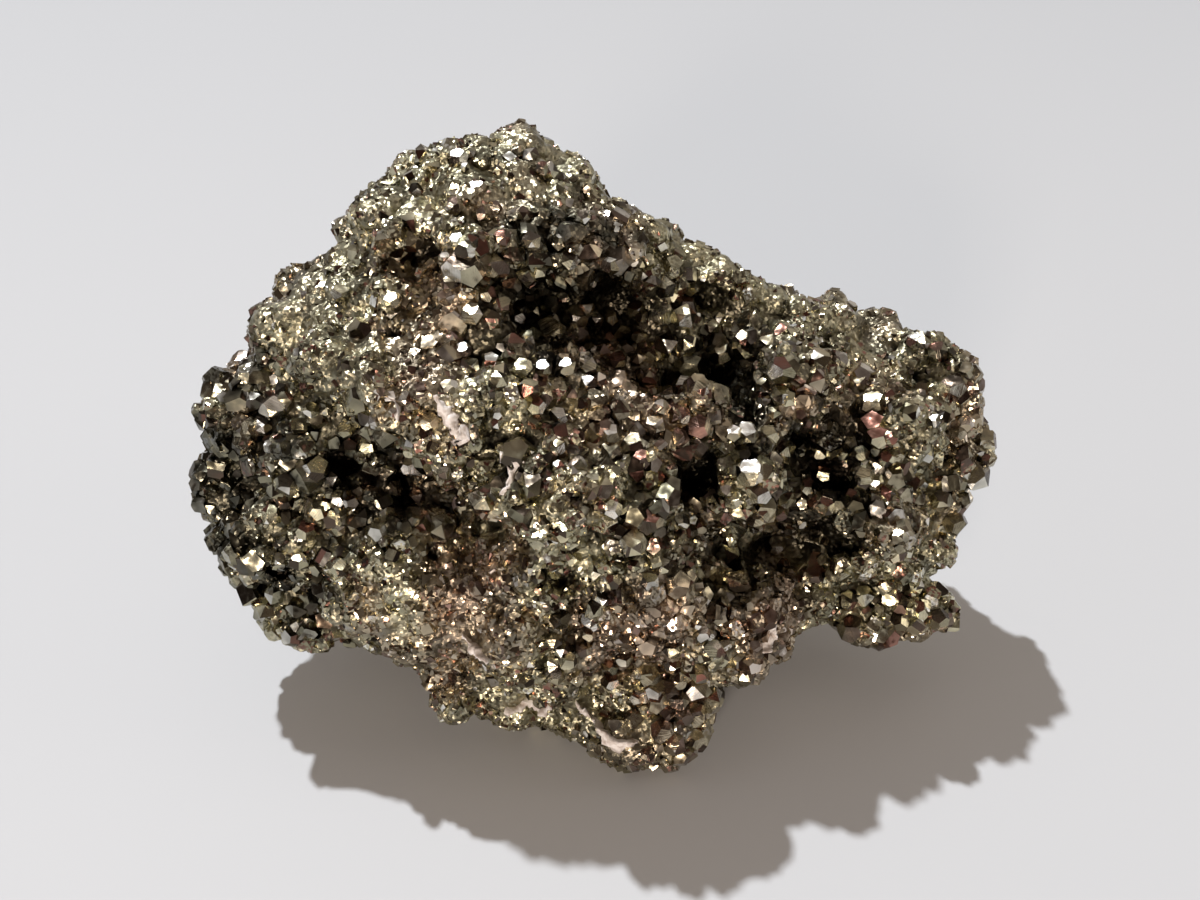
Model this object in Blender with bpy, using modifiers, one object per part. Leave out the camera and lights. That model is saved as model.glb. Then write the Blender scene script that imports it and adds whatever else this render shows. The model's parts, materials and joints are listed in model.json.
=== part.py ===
"""Pyrite specimen: a hand-sized mass of intergrown pyrite crystals, modelled as one solid.

The mass is a craggy crown over a broad belly, with two lobes hanging out to the sides, clear of the
surface it rests on. A gully, the hollow where its largest crystals grew, runs across the front under
the brow and turns down the east side. It grew as one piece, so it is one node. It rests on the broken
face under its middle.

Frame: X runs along the length, west to east, Y from the front to the back, and Z up. The origin is at
the middle of the footprint, on the surface that the specimen rests on. Metres.
"""

import bmesh
import bpy
from mathutils import Matrix, Vector

MM = 0.001

# Driving dimensions, in millimetres.
LENGTH = 130.0  # tip of the west lobe to tip of the east lobe

FUSE_VOXEL = 1.15  # grid that fuses the swellings into one skin
EASE_PASSES = 4  # smoothing passes over the fused skin
KNOB_SIZE, KNOB_HEIGHT = 8.0, 3.4  # rounded clusters of crystals all over the skin
GRAIN_SIZE, GRAIN_HEIGHT = 4.0, 1.8  # single coarse crystals
ROLL_SIZE, ROLL_HEIGHT = 16.0, 2.6  # slow rise and fall of the skin
TRIANGLE_SHARE = 0.12  # share of the fine skin's triangles that the solid keeps

PYRITE_COLOUR = (0.42, 0.37, 0.27, 1.0)  # brassy grey, dulled by tarnish
PYRITE_ROUGHNESS = 0.35

# Swellings of the mass: name, centre and half-axes, in millimetres.
SWELLINGS = (
    # The bulk.
    ("core", (-4, 4, 34), (46, 28, 28)),
    ("crown core", (-14, 10, 57), (23, 19, 22)),
    ("east core", (34, 4, 32), (27, 21, 17)),
    ("west core", (-38, -1, 37), (22, 23, 22)),
    ("foot", (-2, -5, 11), (31, 27, 14)),
    # The crown, and the brow that overhangs the gully.
    ("crown", (-14, 14, 75), (9, 10, 8)),
    ("crown east", (-7, 13, 74), (8, 8, 7)),
    ("crown west", (-24, 11, 74), (9, 8, 7)),
    ("crown west tip", (-31, 10, 71), (6, 7, 6)),
    ("west brow", (-29, 5, 71), (8, 9, 7)),
    ("west brow tip", (-35, 8, 68), (5, 7, 6)),
    ("brow", (-17, -1, 71), (10, 8, 6)),
    ("middle brow", (-7, 1, 70), (9, 8, 6)),
    ("east brow", (1, 5, 67), (9, 9, 7)),
    # The ridge that falls away to the east.
    ("ridge a", (8, 9, 62), (10, 9, 7)),
    ("ridge b", (17, 9, 57), (9, 9, 7)),
    ("ridge c", (26, 8, 53), (9, 9, 7)),
    ("ridge d", (35, 8, 50), (9, 9, 7)),
    ("ridge e", (45, 8, 46), (8, 10, 7)),
    # The east lobe.
    ("east head", (52, 3, 43), (10, 11, 9)),
    ("east cheek", (55, 0, 33), (9, 12, 9)),
    ("east jowl", (51, -6, 24), (10, 11, 8)),
    ("east foot", (42, -12, 22), (10, 9, 7)),
    ("east nub inner", (42, -19, 15), (5.5, 5.5, 5.5)),
    ("east nub outer", (53, -18, 14), (5.5, 5.5, 5)),
    ("east shoulder", (44, -8, 42), (9, 9, 8)),
    ("east knob", (28, -9, 52), (9, 9, 7)),
    ("east breast", (40, -16, 31), (9, 8, 9)),
    ("middle knob", (21, -20, 44), (7, 9, 8)),
    # The west lobe.
    ("west shoulder", (-38, 0, 60), (9, 10, 7)),
    ("west lug", (-44, 4, 62), (5, 6, 4)),
    ("west slope", (-47, -2, 53), (9, 11, 8)),
    ("west flank", (-53, -5, 44), (8, 11, 9)),
    ("west waist", (-56, -7, 34), (8, 11, 8)),
    ("west knob", (-54, -13, 24), (10, 10, 9)),
    ("west hip", (-46, -19, 31), (9, 9, 9)),
    ("west underside", (-47, -16, 16), (9, 9, 7)),
    # The chest: a band that runs down to the east, below the gully.
    ("west chest", (-33, -12, 58), (11, 10, 8)),
    ("temple", (-31, -5, 63), (9, 8, 6)),
    ("cheekbone", (-19, -7, 65), (8, 7, 6)),
    ("chest a", (-25, -18, 55), (11, 9, 8)),
    ("chest b", (-15, -23, 50), (11, 9, 8)),
    ("chest c", (-5, -27, 46), (11, 9, 8)),
    ("heart", (4, -25, 43), (11, 9, 9)),
    ("ledge west", (-14, -14, 57), (10, 8, 6)),
    ("ledge", (-4, -14, 54), (9, 8, 6)),
    ("ledge east", (4, -15, 51), (9, 8, 6)),
    ("chest slope west", (-16, -18, 55), (10, 8, 7)),
    ("chest slope", (-4, -20, 50), (11, 8, 7)),
    ("chest slope east", (6, -20, 47), (9, 8, 7)),
    ("red knob", (13, -17, 52), (6, 6, 6)),
    ("gully knob", (-1, -1, 55), (4, 6, 5)),
    # The belly, under the chest.
    ("west belly", (-27, -25, 27), (15, 11, 14)),
    ("belly", (-9, -28, 23), (15, 12, 16)),
    ("middle belly", (4, -29, 30), (13, 10, 12)),
    ("east belly", (15, -26, 22), (14, 11, 13)),
    ("chin", (6, -31, 6), (12, 10, 9)),
    ("west chin", (-12, -25, 7), (12, 9, 8)),
    ("east low", (25, -18, 14), (9, 10, 9)),
    ("east hem", (32, -19, 17), (7, 7, 6)),
    ("belly corner", (-21, -28, 11), (8, 8, 7)),
    ("west hem", (-34, -18, 13), (8, 8, 6.5)),
    # The back.
    ("back crown", (-12, 22, 64), (14, 11, 12)),
    ("back west", (-36, 18, 44), (16, 13, 15)),
    ("back middle", (-8, 27, 44), (17, 10, 17)),
    ("back east", (20, 23, 40), (16, 12, 13)),
    ("back east low", (38, 16, 26), (14, 12, 11)),
    ("back foot", (-4, 22, 18), (22, 14, 15)),
    ("back west low", (-34, 16, 22), (14, 13, 12)),
)

# Hollows that reach into the front: name, centre and half-axes, in millimetres.
HOLLOWS = (
    ("crescent west", (-29, -4, 69), (2.6, 6, 1.5)),
    ("crescent east", (-25, -4, 71), (1.7, 7, 2.6)),
    ("gully west", (-17, -8, 61), (6, 8, 2.6)),
    ("gully a", (-8, -5, 61), (6, 9, 4)),
    ("gully b", (3, -5, 58), (6, 10, 5)),
    ("gully c", (9, -8, 55), (6, 9, 5)),
    ("gully end", (16, 0, 60), (4, 8, 3)),
    ("slit upper", (18, -4, 59), (3.8, 9, 6)),
    ("slit middle", (18.5, -8, 54), (3.8, 9, 6)),
    ("slit lower", (18.5, -12, 49), (3.6, 9, 5)),
    ("east hollow", (29, -18, 48), (5, 8, 3)),
    ("east slit", (37, -12, 49), (2.5, 8, 5)),
    ("middle hollow", (13, -24, 44), (4, 9, 4)),
    ("east pit", (35, -17, 40), (3, 8, 3)),
    ("lower hollow", (20, -28, 33), (4, 9, 4)),
    ("east low hollow", (33, -22, 32), (5, 8, 3)),
    ("west hollow", (-37, -25, 46), (3.5, 9, 3)),
    ("valley", (-30, -26, 49), (3.5, 7, 2.5)),
    ("valley east", (-23, -30, 45), (3, 6, 2.2)),
    ("valley pit", (-23, -34, 40), (2.6, 5, 2)),
    ("belly pit", (-5, -37, 36), (3.2, 6, 1.8)),
    ("belly pit west", (-15, -38, 33), (3, 6, 2)),
    ("west pit", (-49, -23, 27), (2.6, 6, 2.2)),
)


def clear_scene():
    """Empties the scene, so that only the specimen is in it."""
    for leftover in list(bpy.data.objects):
        bpy.data.objects.remove(leftover)


def collection(name):
    """A new collection in the scene."""
    made = bpy.data.collections.new(name)
    bpy.context.scene.collection.children.link(made)
    return made


def ellipsoids(name, rows, home):
    """One object that holds an ellipsoid for each row of name, centre and half-axes."""
    shells = bmesh.new()
    for _, centre, half_axes in rows:
        place = Matrix.LocRotScale(Vector(centre) * MM, None, Vector(half_axes) * MM)
        bmesh.ops.create_icosphere(shells, subdivisions=3, radius=1.0, matrix=place)
    mesh = bpy.data.meshes.new(name)
    shells.to_mesh(mesh)
    shells.free()
    made = bpy.data.objects.new(name, mesh)
    home.objects.link(made)
    return made


def fuse(obj, voxel):
    """Fuses overlapping shells into one closed skin."""
    remesh = obj.modifiers.new("fuse", "REMESH")
    remesh.mode = "VOXEL"
    remesh.voxel_size = voxel * MM


def ease(obj, passes):
    """Rounds the creases between shells."""
    smooth = obj.modifiers.new("ease", "SMOOTH")
    smooth.iterations = passes


def cut_away(obj, cutter):
    """Takes the cutter's shape out of the mass."""
    cutter.hide_render = True
    cutter.display_type = "WIRE"
    cut = obj.modifiers.new("cut away", "BOOLEAN")
    cut.operation = "DIFFERENCE"
    cut.object = cutter


def swell(obj, name, kind, size, height):
    """Raises the skin by a pattern: cells of a rounded cluster, or clouds of a slow swell."""
    pattern = bpy.data.textures.new(name, kind)
    pattern.noise_scale = size * MM
    raised = obj.modifiers.new(name, "DISPLACE")
    raised.texture = pattern
    raised.strength = height * MM * (-1 if kind == "VORONOI" else 1)
    raised.mid_level = 0.5


def rest_face(obj, home):
    """Cuts the broken face that the specimen rests on, at the height of the surface."""
    slab = bmesh.new()
    below = Matrix.Translation((0, 0, -LENGTH / 2 * MM)) @ Matrix.Scale(LENGTH * MM, 4)
    bmesh.ops.create_cube(slab, size=1.0, matrix=below)
    mesh = bpy.data.meshes.new("below the surface")
    slab.to_mesh(mesh)
    slab.free()
    cutter = bpy.data.objects.new("below the surface", mesh)
    home.objects.link(cutter)
    cut_away(obj, cutter)


def settle(obj):
    """Makes the modifiers part of the mesh and moves the middle of its footprint to the origin."""
    evaluated = obj.evaluated_get(bpy.context.evaluated_depsgraph_get())
    mesh = bpy.data.meshes.new_from_object(evaluated)
    obj.modifiers.clear()
    obj.data = mesh
    low = Vector(min(v.co[axis] for v in mesh.vertices) for axis in range(3))
    high = Vector(max(v.co[axis] for v in mesh.vertices) for axis in range(3))
    fit = Matrix.Scale(LENGTH * MM / (high.x - low.x), 4)
    mesh.transform(fit @ Matrix.Translation((-(low.x + high.x) / 2, -(low.y + high.y) / 2, -low.z)))


def pyrite(obj):
    """Gives the specimen its metallic material."""
    material = bpy.data.materials.new("pyrite")
    material.use_nodes = True
    principled = material.node_tree.nodes["Principled BSDF"]
    principled.inputs["Base Color"].default_value = PYRITE_COLOUR
    principled.inputs["Metallic"].default_value = 1.0
    principled.inputs["Roughness"].default_value = PYRITE_ROUGHNESS
    obj.data.materials.append(material)


def main():
    clear_scene()
    home = collection("pyrite specimen")
    tools = collection("cutters")
    specimen = ellipsoids("pyrite_cluster", SWELLINGS, home)
    hollows = ellipsoids("hollows", HOLLOWS, tools)
    fuse(hollows, FUSE_VOXEL)
    fuse(specimen, FUSE_VOXEL)
    ease(specimen, EASE_PASSES)
    swell(specimen, "roll", "CLOUDS", ROLL_SIZE, ROLL_HEIGHT)
    cut_away(specimen, hollows)
    fuse(specimen, FUSE_VOXEL)
    ease(specimen, 2)
    swell(specimen, "knobs", "VORONOI", KNOB_SIZE, KNOB_HEIGHT)
    swell(specimen, "grains", "VORONOI", GRAIN_SIZE, GRAIN_HEIGHT)
    fuse(specimen, FUSE_VOXEL)
    thin = specimen.modifiers.new("thin", "DECIMATE")
    thin.ratio = TRIANGLE_SHARE
    rest_face(specimen, tools)
    settle(specimen)
    pyrite(specimen)


main()
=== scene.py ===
"""The looks of the pyrite specimen: a craggy mass, the crystals that grew over it, and a plain stage.

The mass is made from the plain solid. Crystals are cleaved to pyrite's own growth forms and grown over the
mass by Geometry Nodes, coarse in the hollows and fine on the open slopes. Metres, Z up.
"""

import itertools
import json
import math

import bmesh
import bpy
import numpy as np
from mathutils import Euler, Matrix, Vector, noise
from mathutils.bvhtree import BVHTree
from mathutils.kdtree import KDTree

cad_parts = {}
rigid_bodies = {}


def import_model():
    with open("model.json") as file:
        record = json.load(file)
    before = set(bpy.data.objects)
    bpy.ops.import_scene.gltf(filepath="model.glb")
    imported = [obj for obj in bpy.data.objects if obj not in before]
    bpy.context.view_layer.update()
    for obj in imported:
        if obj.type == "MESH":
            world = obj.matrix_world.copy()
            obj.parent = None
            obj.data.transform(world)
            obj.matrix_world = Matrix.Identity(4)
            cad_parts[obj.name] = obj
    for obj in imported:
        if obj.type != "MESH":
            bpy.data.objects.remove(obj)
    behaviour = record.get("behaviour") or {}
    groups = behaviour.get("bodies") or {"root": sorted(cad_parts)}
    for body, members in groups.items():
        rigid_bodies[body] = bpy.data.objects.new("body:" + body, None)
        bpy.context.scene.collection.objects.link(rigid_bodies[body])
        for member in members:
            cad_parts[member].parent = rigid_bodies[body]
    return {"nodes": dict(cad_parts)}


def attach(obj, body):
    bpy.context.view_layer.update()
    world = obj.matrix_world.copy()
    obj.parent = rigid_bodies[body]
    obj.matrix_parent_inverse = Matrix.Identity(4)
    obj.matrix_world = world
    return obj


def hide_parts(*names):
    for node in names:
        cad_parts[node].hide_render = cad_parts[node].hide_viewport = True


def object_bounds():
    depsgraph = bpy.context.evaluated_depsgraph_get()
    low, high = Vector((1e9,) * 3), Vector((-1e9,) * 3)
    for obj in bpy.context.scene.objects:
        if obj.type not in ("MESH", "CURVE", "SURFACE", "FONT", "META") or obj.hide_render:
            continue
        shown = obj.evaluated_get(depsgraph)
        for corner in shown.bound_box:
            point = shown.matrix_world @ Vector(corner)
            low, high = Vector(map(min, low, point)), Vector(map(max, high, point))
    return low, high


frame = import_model()
CAD_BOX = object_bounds()

bl_info = {
    "name": "Pyrite specimen",
    "version": (1, 0, 0),
    "blender": (4, 5, 0),
    "location": "3D View > Sidebar > Pyrite",
    "description": "Grows a pyrite crystal cluster over a plain solid and stages it",
    "category": "Add Mesh",
}

MM = 0.001
NODE = "pyrite_cluster"
CENTRE = (Vector(CAD_BOX[0]) + Vector(CAD_BOX[1])) / 2

# The camera and the key light: crystals are placed as seen from one and glint with the other.
VIEWPOINT = Vector((-0.0005, -0.1372, 0.1341))
CAMERA_PITCH = math.radians(36)
KEY_DIRECTION = Vector((0.35, -0.49, -1.0))

# What the best face of a placed crystal mirrors to the camera: the lamp of its tint, or else the room.
LAMPS = {"flare": -KEY_DIRECTION.normalized(), "white": Vector((0.0, 0.35, 0.9)).normalized()}
ROOM = Vector((0.0, 0.35, 0.8))

# The soft lights: name, place, size, strength for a fill of 1, and tint.
PANELS = (
    ("overhead", (0.05, 0.1, 0.75), (0.5, 0.35), 0.12, "#ffe8d8"),
    ("left", (-0.7, -0.15, 0.45), (0.35, 0.5), 0.35, "#f4f7ff"),
    ("front", (-0.25, -0.85, 0.24), (0.17, 0.12), 5.9, "#ffefe1"),
    ("right", (0.7, -0.05, 0.35), (0.25, 0.4), 0.5, "#fff4e8"),
)

# How deep a pit is for its reach, and the depth and width of the frays at its edge, in millimetres.
PIT_DEPTH = 1.6
FRAY = 0.9
FRAY_SIZE = 2.2
# Fixes the frays, which would otherwise differ from run to run.
NOISE_SEED = 1
# The size and depth of the small gaps between coarse crystals, in millimetres.
GAP_SIZE = 3.2
GAP_DEPTH = 1.6

# The width of a facet too small to be modelled, and how far a placed crystal stands out, in millimetres.
FACET_SIZE = 0.44
PROUD = 0.9
# The spacing of the stations along a film of gangue, in millimetres.
FILM_STEP = 0.3
# The shortest edge that a crystal keeps, as a share of its half-width.
LEAST_EDGE = 0.02
# The furthest that a grown crystal leans from the skin's normal, in radians.
LEAN = 0.5
# A valley this deep grows no crystals.
NO_GROWTH = 1.6
# Limits beyond either end of the specimen, in metres.
FAR_WEST = -1.0
FAR_EAST = 1.0

# Where coarse crystals grew: name, centre and reach, in millimetres.
COARSE_SPOTS = (
    ("gully", (1, -3, 57), 17),
    ("gully west", (-15, -5, 62), 11),
    ("under the brow", (-10, -2, 68), 10),
    ("slit", (18, -6, 54), 12),
    ("east knob", (27, -9, 50), 10),
    ("middle knob", (21, -19, 45), 12),
    ("east hollows", (35, -13, 40), 15),
    ("lower hollow", (20, -25, 33), 13),
    ("ledge", (-6, -14, 58), 11),
    ("heart", (11, -22, 47), 9),
    ("west pits", (-38, -20, 45), 16),
    ("west flank", (-52, -8, 42), 16),
    ("west foot", (-48, -16, 18), 15),
    ("valley", (-27, -26, 44), 9),
    ("east rim", (58, -2, 38), 14),
    ("nubs", (47, -16, 15), 11),
    ("west knob", (-52, -14, 26), 13),
    ("chin", (11, -32, 8), 9),
    ("chest", (-11, -26, 52), 9),
    ("lower chest", (2, -31, 44), 9),
    ("belly", (5, -34, 33), 8),
    ("east belly", (23, -28, 21), 9),
    ("back east", (30, 24, 38), 15),
    ("back west", (-36, 26, 40), 14),
    ("back foot", (4, 30, 22), 12),
)

# Black pits between the lumps, too narrow for the plain solid to have, dug in and darkened with painted
# shade: place and reach, in millimetres.
PITS = (
    ("west 1", (-38, -18, 43), 2.9), ("west 2", (-35, -19, 43), 2.9), ("west 3", (-29, -18, 42), 2.6),
    ("west 4", (-28, -18, 39), 2.4), ("west 5", (-23, -17, 41), 2.2), ("west 6", (-18, -27, 48), 2.0),
    ("west 7", (-24, -20, 38), 2.2), ("west 8", (-24, -27, 36), 1.7), ("flank 1", (-53, -14, 37), 1.9),
    ("flank 2", (-44, -19, 38), 1.8), ("flank 3", (-50, -11, 50), 1.6), ("flank 4", (-42, -16, 50), 1.8),
    ("flank 5", (-29, -22, 58), 1.4), ("foot 1", (-50, -25, 30), 2.1), ("foot 2", (-47, -24, 29), 1.8),
    ("foot 3", (-54, -18, 20), 1.7), ("foot 4", (-37, -29, 32), 2.0), ("belly 1", (-8, -33, 36), 2.1),
    ("belly 2", (-5, -32, 35), 2.1), ("belly 3", (-3, -33, 32), 1.7), ("belly 4", (-15, -33, 31), 1.7),
    ("belly 5", (-11, -29, 39), 1.7), ("belly 6", (8, -30, 39), 1.6), ("belly 7", (9, -34, 34), 1.7),
    ("belly 8", (5, -27, 49), 1.4), ("slit 1", (18, 0, 48), 2.6), ("slit 2", (19, -5, 47), 2.5),
    ("slit 3", (19, -18, 51), 2.3), ("slit 4", (13, -17, 40), 2.6), ("slit 5", (15, -16, 41), 2.2),
    ("hollow 1", (22, -23, 30), 3.4), ("hollow 2", (19, -20, 29), 2.7), ("hollow 3", (26, -16, 22), 2.9),
    ("hollow 4", (32, -15, 28), 2.4), ("hollow 5", (35, -17, 28), 2.6), ("hollow 6", (37, -18, 29), 2.1),
    ("east 1", (39, -2, 47), 1.7), ("east 2", (39, -6, 46), 1.6), ("east 3", (39, -8, 44), 1.6),
    ("east 4", (29, -7, 42), 2.1), ("east 5", (32, -7, 41), 2.1), ("east 6", (35, -6, 40), 1.9),
    ("east 7", (37, -10, 36), 2.1), ("east 8", (39, -17, 36), 1.8), ("east 9", (46, -13, 42), 1.8),
    ("head 1", (49, 1, 48), 2.0), ("head 2", (46, 7, 51), 1.7), ("head 3", (34, 2, 52), 1.9),
    ("saddle", (14, 9, 57), 2.4), ("gully 1", (-16, -14, 62), 1.7), ("gully 2", (-4, 0, 54), 2.3),
    ("gully 3", (3, 4, 53), 2.6), ("gully 4", (5, -4, 50), 2.5), ("gully 5", (10, -3, 50), 2.3),
    ("gully 6", (6, 4, 60), 1.8), ("crown 1", (-23, -2, 74), 1.3), ("crown 2", (-25, 3, 70), 1.6),
    ("crown 3", (-27, 2, 68), 1.6), ("crown 4", (-28, 1, 68), 1.3), ("crown 5", (-12, 11, 80), 1.1),
    ("crown 6", (-29, -11, 63), 1.3), ("back 1", (30, 27, 40), 2.4), ("back 2", (33, 26, 37), 2.0),
    ("back 3", (-36, 29, 42), 2.4), ("back 4", (-33, 29, 38), 2.0), ("back 5", (4, 34, 24), 2.2),
    ("back 6", (-12, 32, 44), 1.8),
)

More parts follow.
